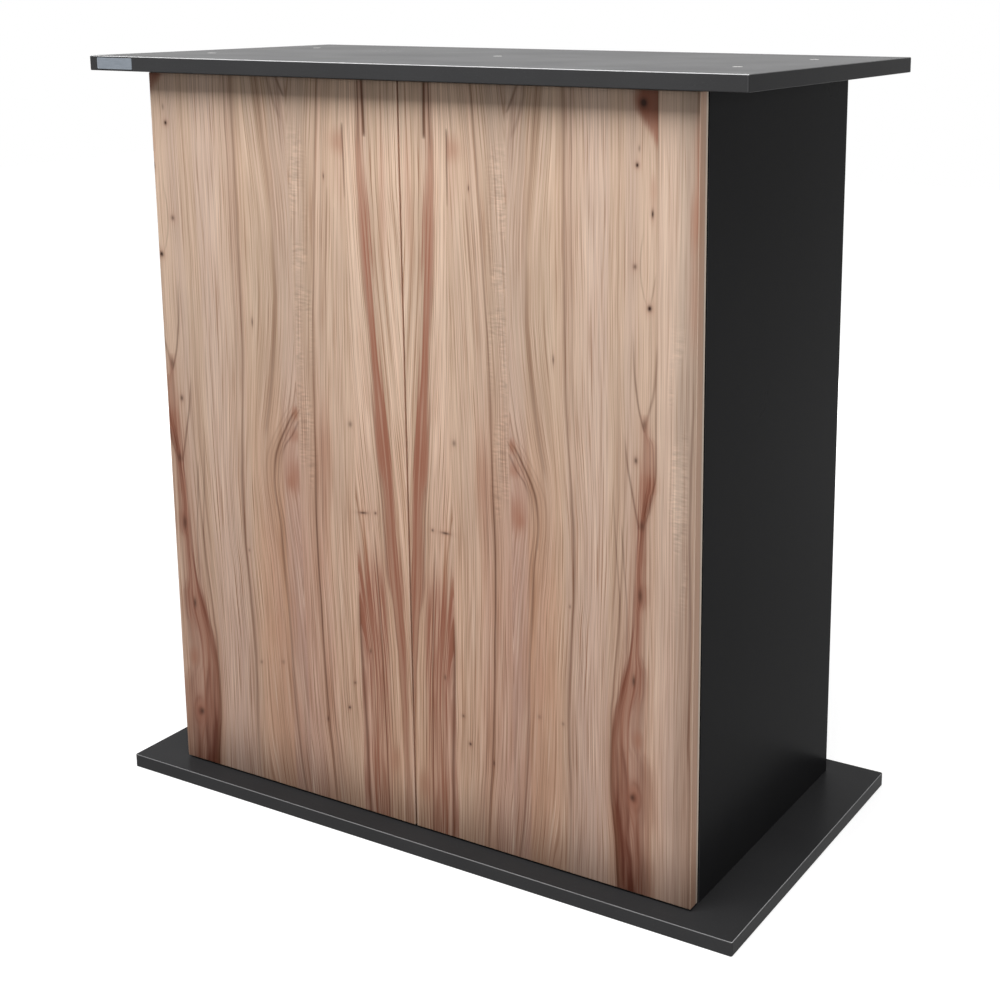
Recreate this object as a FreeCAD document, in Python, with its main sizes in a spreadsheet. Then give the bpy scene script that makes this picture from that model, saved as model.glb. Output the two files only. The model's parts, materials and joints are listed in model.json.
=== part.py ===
"""Aquarium stand: a flat-pack cabinet of laminated board with two push-to-open doors on cup hinges.

Millimetres, +Z up, the front faces -Y, the origin is on the floor under the middle of the base plate.
Every length comes from the sheet "sizes", and each piece is bound to it by expressions.
"""
import FreeCAD
import Part
import os
import types
import Sketcher

V = FreeCAD.Vector

SIZES = {
    # Overall and boards
    "overall_width": 800,
    "overall_depth": 410,
    "overall_height": 850,
    "board_thickness": 16,
    "plate_corner_radius": 2,
    "edge_radius": 1,
    "side_overhang": 60,
    "front_setback": 28,
    "back_setback": 28,
    "back_thickness": 16,
    # Seat of the bare plate in the top's front edge
    "badge_from_end": 11,
    "badge_length": 53,
    "badge_height": 13,
    "badge_depth": 0.8,
    # Doors
    "door_thickness": 16,
    "door_to_body": 3,
    "door_reveal": 2,
    "door_split": 2,
    # Shelves and their pins
    "shelf_level": 500,
    "shelf_front_setback": 25,
    "shelf_side_clearance": 1,
    "shelf_back_clearance": 2,
    "pin_row_front": 60,
    "pin_row_back": 60,
    "pin_pitch": 32,
    "pin_radius": 2.4,
    "pin_in_panel": 7,
    "pin_under_shelf": 9,
    "hole_clearance": 0.1,
    # Hose and cable cut-outs in the back
    "hose_cut_width": 120,
    "hose_cut_height": 70,
    "hose_cut_radius": 18,
    "hose_cut_from_side": 158,
    "hose_cut_below_top": 75,
    # Screws through the plates and the back
    "screw_head_radius": 5,
    "screw_head_height": 3.5,
    "screw_radius": 3,
    "screw_length": 50,
    "screw_socket_radius": 2.3,
    "screw_socket_depth": 2.4,
    "screw_from_front": 120,
    "screw_from_back": 105,
    "middle_screw_from_back": 200,
    "back_screw_low": 120,
    "back_screw_pitch": 280,
    "back_screw_length": 40,
    # Dowels
    "dowel_radius": 4,
    "dowel_in_plate": 10,
    "dowel_in_panel": 20,
    "dowel_from_front": 35,
    "dowel_from_back": 45,
    "back_dowel_from_side": 90,
    # Cam fittings between back and sides
    "cam_radius": 7.5,
    "cam_depth": 12.5,
    "cam_recess_length": 9,
    "cam_recess_width": 1.8,
    "cam_recess_depth": 2,
    "cam_from_edge": 24,
    "cam_from_plate": 110,
    "cam_bolt_radius": 3,
    "cam_bolt_head_radius": 3.6,
    "cam_bolt_head_length": 4,
    "cam_bolt_in_side": 11,
    "cam_bolt_bore_radius": 4,
    # Cup hinges
    "hinge_from_door_end": 100,
    "cup_radius": 17.5,
    "cup_depth": 11.9,
    "cup_cavity_depth": 11.3,
    "cup_from_door_edge": 3,
    "cup_end_wall": 1.3,
    "cup_slot_half": 4.5,
    "flange_thickness": 1.2,
    "flange_rim": 1,
    "flange_wing_half": 31,
    "flange_wing_width": 15,
    "cup_screw_offset": 6,
    "cup_screw_half_pitch": 24,
    "pivot_from_edge": 6.5,
    "pivot_depth": 8,
    "hinge_pin_radius": 1,
    "hinge_pin_half": 7.5,
    "hinge_pin_clearance": 0.08,
    "eye_radius": 1.9,
    "neck_half": 3,
    "arm_half": 6.5,
    "arm_wall": 1.5,
    "arm_front": 12,
    "arm_length": 46,
    "neck_from_side": 1.6,
    "neck_width": 4.4,
    "neck_lead": 9,
    "finger_half": 1.5,
    "finger_rise": 1.1,
    "mount_thickness": 2,
    "mount_wing_half": 24,
    "mount_wing_width": 16,
    "mount_spine_half": 7.5,
    "mount_spine_margin": 2,
    "mount_screw_from_front": 37,
    "mount_screw_half_pitch": 16,
    "rail_half": 4.6,
    "rail_height": 6,
    "fixing_head_height": 1.8,
    "recess_length": 4,
    "recess_width": 1.1,
    "recess_depth": 1.2,
    "mount_screw_head_radius": 4.5,
    "mount_screw_radius": 3,
    "mount_screw_length": 13,
    "cup_screw_head_radius": 3.5,
    "cup_screw_radius": 1.75,
    "cup_screw_length": 13,
    "adjust_screw_head_radius": 3,
    "adjust_screw_radius": 2,
    "adjust_screw_length": 7,
    "adjust_screw_margin": 9,
    # Push latches
    "latch_from_middle": 42,
    "latch_axis_drop": 10,
    "latch_width": 16,
    "latch_height": 18,
    "latch_length": 62,
    "latch_behind_front": 5,
    "latch_ear_reach": 9,
    "latch_ear_length": 16,
    "latch_ear_thickness": 2.5,
    "latch_ear_behind": 22,
    "latch_screw_head_radius": 3.2,
    "latch_screw_radius": 1.75,
    "latch_screw_length": 13,
    "plunger_radius": 3.8,
    "plunger_length": 42,
    "plunger_clearance": 0.4,
    "plunger_tip_radius": 5,
    "plunger_tip_gap": 0.3,
    "latch_front_gap": 1,
    "strike_radius": 7,
    "strike_thickness": 1,
}


class Size:
    """A length with its number and the sheet expression that gives it."""

    def __init__(self, value, text):
        self.value = float(value)
        self.text = text

    def __add__(self, other):
        other = as_size(other)
        return Size(self.value + other.value, f"({self.text} + {other.text})")

    def __sub__(self, other):
        other = as_size(other)
        return Size(self.value - other.value, f"({self.text} - {other.text})")

    def __neg__(self):
        return Size(-self.value, f"(0 - {self.text})")

    def __mul__(self, factor):
        return Size(self.value * factor, f"({self.text} * {factor})")

    def __truediv__(self, factor):
        return Size(self.value / factor, f"({self.text} / {factor})")


def as_size(item):
    """Lets plain numbers stand beside sizes, such as a zero."""
    if isinstance(item, Size):
        return item
    return Size(item, repr(float(item)))


doc = FreeCAD.newDocument("aquarium_stand")
sheet = doc.addObject("Spreadsheet::Sheet", "sizes")
for row, (alias, number) in enumerate(SIZES.items(), start=1):
    sheet.set(f"A{row}", alias.replace("_", " "))
    sheet.set(f"B{row}", str(number))
    sheet.setAlias(f"B{row}", alias)
doc.recompute()
s = types.SimpleNamespace(**{alias: Size(number, f"sizes.{alias}") for alias, number in SIZES.items()})

# Places that several pieces share
ZERO = as_size(0)
half_width = s.overall_width / 2
half_depth = s.overall_depth / 2
half_body = half_width - s.side_overhang
half_board = s.board_thickness / 2
inner_half = half_body - s.board_thickness
base_top = s.board_thickness
top_under = s.overall_height - s.board_thickness
door_front = s.front_setback - half_depth
door_back = door_front + s.door_thickness
body_front = door_back + s.door_to_body
body_back = half_depth - s.back_setback
back_front = body_back - s.back_thickness
back_middle = back_front + s.back_thickness / 2
door_low = base_top + s.door_reveal
door_high = top_under - s.door_reveal
hinge_levels = {"lower": door_low + s.hinge_from_door_end, "upper": door_high - s.hinge_from_door_end}
side_screw_rows = [s.screw_from_front - half_depth, half_depth - s.screw_from_back]
middle_screw_row = half_depth - s.middle_screw_from_back
side_middle = half_body - half_board
dowel_rows = [body_front + s.dowel_from_front, back_front - s.dowel_from_back]
pin_rows = [body_front + s.pin_row_front, back_front - s.pin_row_back]
pin_level = s.shelf_level - s.pin_radius
pin_levels = [pin_level + s.pin_pitch * step for step in (-2, -1, 0, 1, 2)]
cam_levels = [base_top + s.cam_from_plate, top_under - s.cam_from_plate]
cam_middle = inner_half - s.cam_from_edge
back_screw_levels = [base_top + s.back_screw_low + s.back_screw_pitch * step for step in (0, 1, 2)]
cup_middle = s.cup_from_door_edge + s.cup_radius
pivot_y = door_back - s.pivot_depth
mount_face = s.board_thickness + s.mount_thickness
rail_face = mount_face + s.rail_height
arm_face = rail_face + s.arm_wall
arm_back = body_front + s.arm_front + s.arm_length
latch_face = body_front + s.latch_behind_front
latch_level = top_under - s.latch_axis_drop
SIDES = {"left": -1, "right": 1}


def bind(item, name, length):
    """Ties one property to its sheet expression."""
    item.setExpression(name, length.text)


def place(item, x, y, z, rotation=None):
    """Puts an object at x, y, z, each tied to the sheet."""
    item.Placement = FreeCAD.Placement(V(x.value, y.value, z.value), rotation or FreeCAD.Rotation())
    bind(item, "Placement.Base.x", x)
    bind(item, "Placement.Base.y", y)
    bind(item, "Placement.Base.z", z)


def across(sign, inwards):
    """The x of a point that lies inwards of one side panel's outer face."""
    return (half_body - inwards) * sign


def span(first, second):
    """Two sizes, the smaller one first."""
    return sorted((first, second), key=lambda length: length.value)


def new_body(label):
    """An empty PartDesign body."""
    body = doc.addObject("PartDesign::Body", label)
    body.Label = label
    return body


def sketch_on(body, plane, level):
    """A sketch on one of the body's own planes, moved along the plane's normal to the level."""
    sketch = body.newObject("Sketcher::SketchObject", "outline")
    support = next(item for item in body.Origin.OriginFeatures if item.Role == plane)
    sketch.AttachmentSupport = [(support, "")]
    sketch.MapMode = "FlatFace"
    sketch.AttachmentOffset = FreeCAD.Placement(V(0, 0, level.value), FreeCAD.Rotation())
    bind(sketch, "AttachmentOffset.Base.z", level)
    return sketch


def fix_point(sketch, curve, point, x, y):
    """Holds one point of a sketch curve at x, y from the sketch's origin."""
    for kind, length in (("DistanceX", x), ("DistanceY", y)):
        index = sketch.addConstraint(Sketcher.Constraint(kind, -1, 1, curve, point, length.value))
        bind(sketch, f"Constraints[{index}]", length)


def draw_outline(sketch, corners):
    """A closed outline of straight lines through the corners."""
    first = sketch.GeometryCount
    count = len(corners)
    for index, (x, y) in enumerate(corners):
        end_x, end_y = corners[(index + 1) % count]
        line = Part.LineSegment(V(x.value, y.value, 0), V(end_x.value, end_y.value, 0))
        sketch.addGeometry(line, False)
    for index in range(count):
        following = first + (index + 1) % count
        sketch.addConstraint(Sketcher.Constraint("Coincident", first + index, 2, following, 1))
    for index, (x, y) in enumerate(corners):
        fix_point(sketch, first + index, 1, x, y)


def draw_rectangle(sketch, x_span, y_span):
    """A rectangle between two sizes each way."""
    low_x, high_x = x_span
    low_y, high_y = y_span
    draw_outline(sketch, [(low_x, low_y), (high_x, low_y), (high_x, high_y), (low_x, high_y)])


def draw_circles(sketch, spots, radius):
    """Circles of one radius at the spots."""
    for x, y in spots:
        curve = sketch.addGeometry(Part.Circle(V(x.value, y.value, 0), V(0, 0, 1), radius.value), False)
        index = sketch.addConstraint(Sketcher.Constraint("Radius", curve, radius.value))
        bind(sketch, f"Constraints[{index}]", radius)
        fix_point(sketch, curve, 3, x, y)


def pad(body, sketch, length, reverse=False, middle=False):
    """Pads a sketch along its normal, against it, or to both sides."""
    feature = body.newObject("PartDesign::Pad", "pad")
    feature.Profile = sketch
    bind(feature, "Length", length)
    feature.Reversed = reverse
    feature.Midplane = middle
    doc.recompute()
    return feature


def pocket(body, sketch, depth, reverse=False, middle=False):
    """Cuts a sketch into the body against its normal, along it, or to both sides."""
    before = body.Shape.Volume
    feature = body.newObject("PartDesign::Pocket", "pocket")
    feature.Profile = sketch
    bind(feature, "Length", depth)
    feature.Reversed = reverse
    feature.Midplane = middle
    doc.recompute()
    if body.Shape.Volume > before - 0.1:
        raise RuntimeError(f"a pocket of {body.Label} cuts nothing")
    return feature


def drill(body, plane, level, spots, radius, depth, reverse=False):
    """Round holes of one radius and depth from one plane."""
    sketch = sketch_on(body, plane, level)
    draw_circles(sketch, spots, radius)
    pocket(body, sketch, depth, reverse)


def round_edges(body, axis, radius, wanted):
    """Rounds the straight edges along an axis whose middle passes the test."""
    names = []
    base = body.Tip
    for index, edge in enumerate(base.Shape.Edges, start=1):
        run = edge.Vertexes[-1].Point - edge.Vertexes[0].Point
        straight = isinstance(edge.Curve, (Part.Line, Part.LineSegment))
        if straight and abs(run.dot(axis)) > run.Length - 1e-6 and wanted(edge.CenterOfMass):
            names.append(f"Edge{index}")
    feature = body.newObject("PartDesign::Fillet", "rounding")
    feature.Base = (base, names)
    bind(feature, "Radius", radius)
    doc.recompute()


def round_rims(body, wanted):
    """Rounds every edge whose middle passes the test by the boards' edge radius."""
    base = body.Tip
    names = [f"Edge{index}" for index, edge in enumerate(base.Shape.Edges, start=1) if wanted(edge.CenterOfMass)]
    feature = body.newObject("PartDesign::Fillet", "rim")
    feature.Base = (base, names)
    bind(feature, "Radius", s.edge_radius)
    doc.recompute()


def rod(name, radius, length, x, y, z, direction):
    """A cylinder that starts at x, y, z and runs along the direction."""
    cylinder = doc.addObject("Part::Cylinder", name)
    bind(cylinder, "Radius", radius)
    bind(cylinder, "Height", length)
    place(cylinder, x, y, z, FreeCAD.Rotation(V(0, 0, 1), V(*direction)))
    return cylinder


def fused(name, items):
    """One solid from several that touch."""
    union = doc.addObject("Part::MultiFuse", name)
    union.Shapes = items
    return union


def group(label, items):
    """Separate solids that share one node."""
    compound = doc.addObject("Part::Compound", label)
    compound.Label = label
    compound.Links = items
    return compound


def cut_out(name, base, tool):
    """One solid less another."""
    cut = doc.addObject("Part::Cut", name)
    cut.Base = base
    cut.Tool = tool
    return cut


def cross_recess(name, point, direction, length, width, depth):
    """Two crossed slots that go in at a point, along one of the axes."""
    slots = []
    for number in (0, 1):
        slot = doc.addObject("Part::Box", f"{name}_slot_{number}")
        corner = []
        crosswise = [length, width] if number else [width, length]
        for side_name, middle, way in zip(("Length", "Width", "Height"), point, direction):
            size = depth if way else crosswise.pop()
            bind(slot, side_name, size)
            if way > 0:
                corner.append(middle)
            elif way < 0:
                corner.append(middle - size)
            else:
                corner.append(middle - size / 2)
        place(slot, *corner)
        slots.append(slot)
    return fused(f"{name}_recess", slots)


def blank_screw(name, point, direction, head_radius, head_height, radius, length):
    """A screw with a smooth head; point is the middle of the head's top and length counts from there."""
    head = rod(f"{name}_head", head_radius, head_height, *point, direction)
    shank = rod(f"{name}_shank", radius, length, *point, direction)
    return fused(f"{name}_blank", [head, shank])


def screw(name, point, direction, head_radius, head_height, radius, length):
    """A fixing screw with a cross recess in its head."""
    blank = blank_screw(name, point, direction, head_radius, head_height, radius, length)
    recess = cross_recess(name, point, direction, s.recess_length, s.recess_width, s.recess_depth)
    return cut_out(name, blank, recess)


def socket_screw(name, point, direction, length):
    """A carcass screw with a hexagon socket in its head."""
    blank = blank_screw(name, point, direction, s.screw_head_radius, s.screw_head_height, s.screw_radius, length)
    socket = doc.addObject("Part::Prism", f"{name}_socket")
    socket.Polygon = 6
    bind(socket, "Circumradius", s.screw_socket_radius)
    bind(socket, "Height", s.screw_socket_depth)
    place(socket, *point, FreeCAD.Rotation(V(0, 0, 1), V(*direction)))
    return cut_out(name, blank, socket)


# Top and base plates, with sunk screws and blind dowel holes
screw_hole = s.screw_radius + s.hole_clearance
head_hole = s.screw_head_radius + s.hole_clearance
dowel_hole = s.dowel_radius + s.hole_clearance
plate_screws = [(side_middle * sign, y) for sign in SIDES.values() for y in side_screw_rows]
plate_screws.append((ZERO, middle_screw_row))
plate_dowels = [(side_middle * sign, y) for sign in SIDES.values() for y in dowel_rows]
plate_dowels += [(ZERO, y) for y in dowel_rows]
plate_dowels += [((inner_half - s.back_dowel_from_side) * sign, back_middle) for sign in SIDES.values()]
latch_screw_reach = s.latch_width / 2 + s.latch_ear_reach / 2
latch_screw_row = latch_face + s.latch_ear_behind + s.latch_ear_length / 2
latch_screw_spots = [(s.latch_from_middle * sign + latch_screw_reach * part, latch_screw_row)
                     for sign in SIDES.values() for part in (-1, 1)]


def make_plate(label, level, head_level, heads_up):
    """One of the two equal plates; heads_up tells on which face the screw heads lie."""
    body = new_body(label)
    place(body, ZERO, ZERO, level)
    sketch = sketch_on(body, "XY_Plane", ZERO)
    draw_rectangle(sketch, (-half_width, half_width), (-half_depth, half_depth))
    pad(body, sketch, s.board_thickness)
    round_edges(body, V(0, 0, 1), s.plate_corner_radius, lambda middle: True)
    round_rims(body, lambda middle: abs(middle.z - half_board.value) > half_board.value / 2)
    inner_level = ZERO if heads_up else s.board_thickness
    drill(body, "XY_Plane", head_level, plate_screws, head_hole, s.screw_head_height, not heads_up)
    drill(body, "XY_Plane", head_level, plate_screws, screw_hole, s.board_thickness, not heads_up)
    drill(body, "XY_Plane", inner_level, plate_dowels, dowel_hole, s.dowel_in_plate, heads_up)
    return body


top_panel = make_plate("top_panel", top_under, s.board_thickness, True)
latch_hole_depth = s.latch_screw_length - s.fixing_head_height - s.latch_ear_thickness
drill(top_panel, "XY_Plane", ZERO, latch_screw_spots, s.latch_screw_radius + s.hole_clearance, latch_hole_depth, True)
sketch = sketch_on(top_panel, "XZ_Plane", half_depth)
badge_end = s.badge_from_end - half_width
badge_low = half_board - s.badge_height / 2
draw_rectangle(sketch, (badge_end, badge_end + s.badge_length), (badge_low, badge_low + s.badge_height))
pocket(top_panel, sketch, s.badge_depth)
base_panel = make_plate("base_panel", ZERO, ZERO, False)
parts = [top_panel, base_panel]

# Side panels and centre divider, with holes in their edges and faces
panel_screw_depth = s.screw_length - s.board_thickness
mount_hole_depth = s.mount_screw_length - s.fixing_head_height - s.mount_thickness
pin_spots = [(y, z) for y in pin_rows for z in pin_levels]


def drill_ends(body, x, screw_rows):
    """Screw and dowel holes in the upper and lower edge of an upright panel."""
    for level, upwards in ((top_under, False), (base_top, True)):
        drill(body, "XY_Plane", level, [(x, y) for y in screw_rows], screw_hole, panel_screw_depth, upwards)
        drill(body, "XY_Plane", level, [(x, y) for y in dowel_rows], dowel_hole, s.dowel_in_panel, upwards)


for side, sign in SIDES.items():
    body = new_body(f"{side}_side_panel")
    low_x = span(half_body * sign, inner_half * sign)[0]
    place(body, low_x, ZERO, ZERO)
    sketch = sketch_on(body, "YZ_Plane", ZERO)
    draw_rectangle(sketch, (body_front, body_back), (base_top, top_under))
    pad(body, sketch, s.board_thickness)
    round_edges(body, V(0, 0, 1), s.edge_radius, lambda middle: True)
    drill_ends(body, half_board, side_screw_rows)
    inner_face = s.board_thickness if sign < 0 else ZERO
    drill(body, "YZ_Plane", inner_face, pin_spots, s.pin_radius + s.hole_clearance, s.pin_in_panel, sign > 0)
    mount_spots = [(body_front + s.mount_screw_from_front, z + s.mount_screw_half_pitch * part)
                   for z in hinge_levels.values() for part in (-1, 1)]
    mount_hole = s.mount_screw_radius + s.hole_clearance
    drill(body, "YZ_Plane", inner_face, mount_spots, mount_hole, mount_hole_depth, sign > 0)
    cam_spots = [(back_middle, z) for z in cam_levels]
    cam_hole = s.cam_bolt_radius + s.hole_clearance
    drill(body, "YZ_Plane", inner_face, cam_spots, cam_hole, s.cam_bolt_in_side, sign > 0)
    parts.append(body)

divider = new_body("centre_divider")
place(divider, -half_board, ZERO, ZERO)
sketch = sketch_on(divider, "YZ_Plane", ZERO)
draw_rectangle(sketch, (body_front, back_front), (base_top, top_under))
pad(divider, sketch, s.board_thickness)
round_edges(divider, V(0, 0, 1), s.edge_radius, lambda middle: middle.y < 0)
drill_ends(divider, half_board, [middle_screw_row])
pin_hole = s.pin_radius + s.hole_clearance
drill(divider, "YZ_Plane", s.board_thickness, pin_spots, pin_hole, s.pin_in_panel)
drill(divider, "YZ_Plane", ZERO, pin_spots, pin_hole, s.pin_in_panel, True)
back_hole_depth = s.back_screw_length - s.back_thickness
back_spots = [(half_board, z) for z in back_screw_levels]
drill(divider, "XZ_Plane", -back_front, back_spots, screw_hole, back_hole_depth, True)
parts.append(divider)

# Back panel with a hose and cable cut-out for each half
back = new_body("back_panel")
sketch = sketch_on(back, "XZ_Plane", -body_back)
draw_rectangle(sketch, (-inner_half, inner_half), (base_top, top_under))
pad(back, sketch, s.back_thickness)
hose_middle_z = top_under - s.hose_cut_below_top
sketch = sketch_on(back, "XZ_Plane", -body_back)
for sign in SIDES.values():
    middle = (inner_half - s.hose_cut_from_side) * sign
    x_span = (middle - s.hose_cut_width / 2, middle + s.hose_cut_width / 2)
    draw_rectangle(sketch, x_span, (hose_middle_z - s.hose_cut_height / 2, hose_middle_z + s.hose_cut_height / 2))
pocket(back, sketch, s.back_thickness, True)
round_edges(back, V(0, 1, 0), s.hose_cut_radius, lambda middle: abs(middle.x) < inner_half.value - 1)
drill(back, "XZ_Plane", -back_front, [(cam_middle * sign, z) for sign in SIDES.values() for z in cam_levels],
      s.cam_radius + s.hole_clearance, s.cam_depth)
for sign in SIDES.values():
    edge_spots = [(back_middle, z) for z in cam_levels]
    drill(back, "YZ_Plane", inner_half * sign, edge_spots, s.cam_bolt_bore_radius, s.cam_from_edge, sign < 0)
back_spots = [(ZERO, z) for z in back_screw_levels]
drill(back, "XZ_Plane", -body_back, back_spots, head_hole, s.screw_head_height, True)
drill(back, "XZ_Plane", -body_back, back_spots, screw_hole, s.back_thickness, True)
back_dowel_spots = [((inner_half - s.back_dowel_from_side) * sign, back_middle) for sign in SIDES.values()]
for level, upwards in ((top_under, False), (base_top, True)):
    drill(back, "XY_Plane", level, back_dowel_spots, dowel_hole, s.dowel_in_panel, upwards)
parts.append(back)

# Shelves on their pins
shelf_span_y = (body_front + s.shelf_front_setback, back_front - s.shelf_back_clearance)
for side, sign in SIDES.items():
    shelf = new_body(f"{side}_shelf")
    place(shelf, ZERO, ZERO, s.shelf_level)
    sketch = sketch_on(shelf, "XY_Plane", ZERO)
    outer = (inner_half - s.shelf_side_clearance) * sign
    inner = (half_board + s.shelf_side_clearance) * sign
    draw_rectangle(sketch, span(outer, inner), shelf_span_y)
    pad(shelf, sketch, s.board_thickness)
    round_edges(shelf, V(1, 0, 0), s.edge_radius, lambda middle: True)
    pins = []
    pin_length = s.pin_in_panel + s.pin_under_shelf
    for row, y in enumerate(pin_rows):
        start = (inner_half + s.pin_in_panel) * sign
        pins.append(rod(f"{side}_outer_pin_{row}", s.pin_radius, pin_length, start, y, pin_level, (-sign, 0, 0)))
        start = (half_board - s.pin_in_panel) * sign
        pins.append(rod(f"{side}_inner_pin_{row}", s.pin_radius, pin_length, start, y, pin_level, (sign, 0, 0)))
    parts += [shelf, group(f"{side}_shelf_pins", pins)]

# Screws and dowels of the carcass
for label, level, direction in (("top_screws", s.overall_height, (0, 0, -1)), ("base_screws", ZERO, (0, 0, 1))):
    screws = [socket_screw(f"{label}_{number}", (x, y, level), direction, s.screw_length)
              for number, (x, y) in enumerate(plate_screws)]
    parts.append(group(label, screws))
dowel_length = s.dowel_in_plate + s.dowel_in_panel
for label, level in (("top_dowels", top_under - s.dowel_in_panel), ("base_dowels", base_top - s.dowel_in_plate)):
    dowels = [rod(f"{label}_{number}", s.dowel_radius, dowel_length, x, y, level, (0, 0, 1))
              for number, (x, y) in enumerate(plate_dowels)]
    parts.append(group(label, dowels))
back_screws = [socket_screw(f"back_screw_{number}", (ZERO, body_back, z), (0, -1, 0), s.back_screw_length)
               for number, z in enumerate(back_screw_levels)]
parts.append(group("back_screws", back_screws))

# Cam bolts in the sides and cam discs in the back panel
bolts = []
discs = []
slot_half = s.cam_bolt_head_radius + s.hole_clearance
for side, sign in SIDES.items():
    for number, z in enumerate(cam_levels):
        name = f"{side}_cam_{number}"
        start = (inner_half + s.cam_bolt_in_side) * sign
        shank = rod(f"{name}_shank", s.cam_bolt_radius, s.cam_bolt_in_side + s.cam_from_edge, start, back_middle, z,
                    (-sign, 0, 0))
        head_start = (cam_middle + s.cam_bolt_head_length) * sign
        head = rod(f"{name}_head", s.cam_bolt_head_radius, s.cam_bolt_head_length, head_start, back_middle, z,
                   (-sign, 0, 0))
        bolts.append(fused(f"{name}_bolt", [shank, head]))
        disc = rod(f"{name}_round", s.cam_radius, s.cam_depth, cam_middle * sign, back_front, z, (0, 1, 0))
        slot = doc.addObject("Part::Box", f"{name}_slot")
        low_x = span(cam_middle * sign, (cam_middle + s.cam_radius) * sign)[0]
        bind(slot, "Length", s.cam_radius)
        bind(slot, "Width", slot_half * 2)
        bind(slot, "Height", slot_half * 2)
        place(slot, low_x, back_middle - slot_half, z - slot_half)
        slotted = cut_out(f"{name}_slotted", disc, slot)
        recess = cross_recess(name, (cam_middle * sign, back_front, z), (0, 1, 0), s.cam_recess_length,
                              s.cam_recess_width, s.cam_recess_depth)
        discs.append(cut_out(f"{name}_disc", slotted, recess))
parts += [group("cam_bolts", bolts), group("cam_discs", discs)]

# Doors, bored for the hinge cups
cup_screw_x = cup_middle + s.cup_screw_offset
for side, sign in SIDES.items():
    door = new_body(f"{side}_door")
    sketch = sketch_on(door, "XZ_Plane", -door_back)
    draw_rectangle(sketch, span(half_body * sign, s.door_split / 2 * sign), (door_low, door_high))
    pad(door, sketch, s.door_thickness)
    round_rims(door, lambda middle: True)
    cup_spots = [(across(sign, cup_middle), z) for z in hinge_levels.values()]
    drill(door, "XZ_Plane", -door_back, cup_spots, s.cup_radius + s.hole_clearance,
          s.cup_depth + s.hole_clearance, True)
    pilot_spots = [(across(sign, cup_screw_x), z + s.cup_screw_half_pitch * part)
                   for z in hinge_levels.values() for part in (-1, 1)]
    pilot_depth = s.cup_screw_length - s.flange_thickness - s.fixing_head_height
    drill(door, "XZ_Plane", -door_back, pilot_spots, s.cup_screw_radius + s.hole_clearance, pilot_depth, True)
    parts.append(door)


def make_mount(label, sign, z):
    """Cross-shaped hinge plate on the side panel, with the rail that carries the arm."""
    body = new_body(label)
    face = inner_half * sign
    into = sign > 0
    middle = body_front + s.mount_screw_from_front
    half_wing = s.mount_wing_width / 2
    front = body_front + s.arm_front - s.mount_spine_margin
    rear = arm_back + s.mount_spine_margin
    low_spine = z - s.mount_spine_half
    high_spine = z + s.mount_spine_half
    low_wing = z - s.mount_wing_half
    high_wing = z + s.mount_wing_half
    sketch = sketch_on(body, "YZ_Plane", face)
    draw_outline(sketch, [
        (front, low_spine), (middle - half_wing, low_spine), (middle - half_wing, low_wing),
        (middle + half_wing, low_wing), (middle + half_wing, low_spine), (rear, low_spine),
        (rear, high_spine), (middle + half_wing, high_spine), (middle + half_wing, high_wing),
        (middle - half_wing, high_wing), (middle - half_wing, high_spine), (front, high_spine)])
    pad(body, sketch, s.mount_thickness, into)
    rail_front = body_front + s.arm_front + s.arm_wall + s.mount_spine_margin
    sketch = sketch_on(body, "YZ_Plane", across(sign, mount_face))
    draw_rectangle(sketch, (rail_front, arm_back - s.mount_spine_margin), (z - s.rail_half, z + s.rail_half))
    pad(body, sketch, s.rail_height, into)
    wing_spots = [(middle, z + s.mount_screw_half_pitch * part) for part in (-1, 1)]
    drill(body, "YZ_Plane", across(sign, mount_face), wing_spots, s.mount_screw_radius + s.hole_clearance,
          s.mount_thickness, into)
    drill(body, "YZ_Plane", across(sign, rail_face), adjust_spots(z), s.adjust_screw_radius + s.hole_clearance,
          s.adjust_screw_length - s.fixing_head_height - s.arm_wall, into)
    return body


def adjust_spots(z):
    """Places of the two adjusting screws on the arm."""
    front = body_front + s.arm_front + s.adjust_screw_margin
    return [(front, z), (arm_back - s.adjust_screw_margin, z)]


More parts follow.
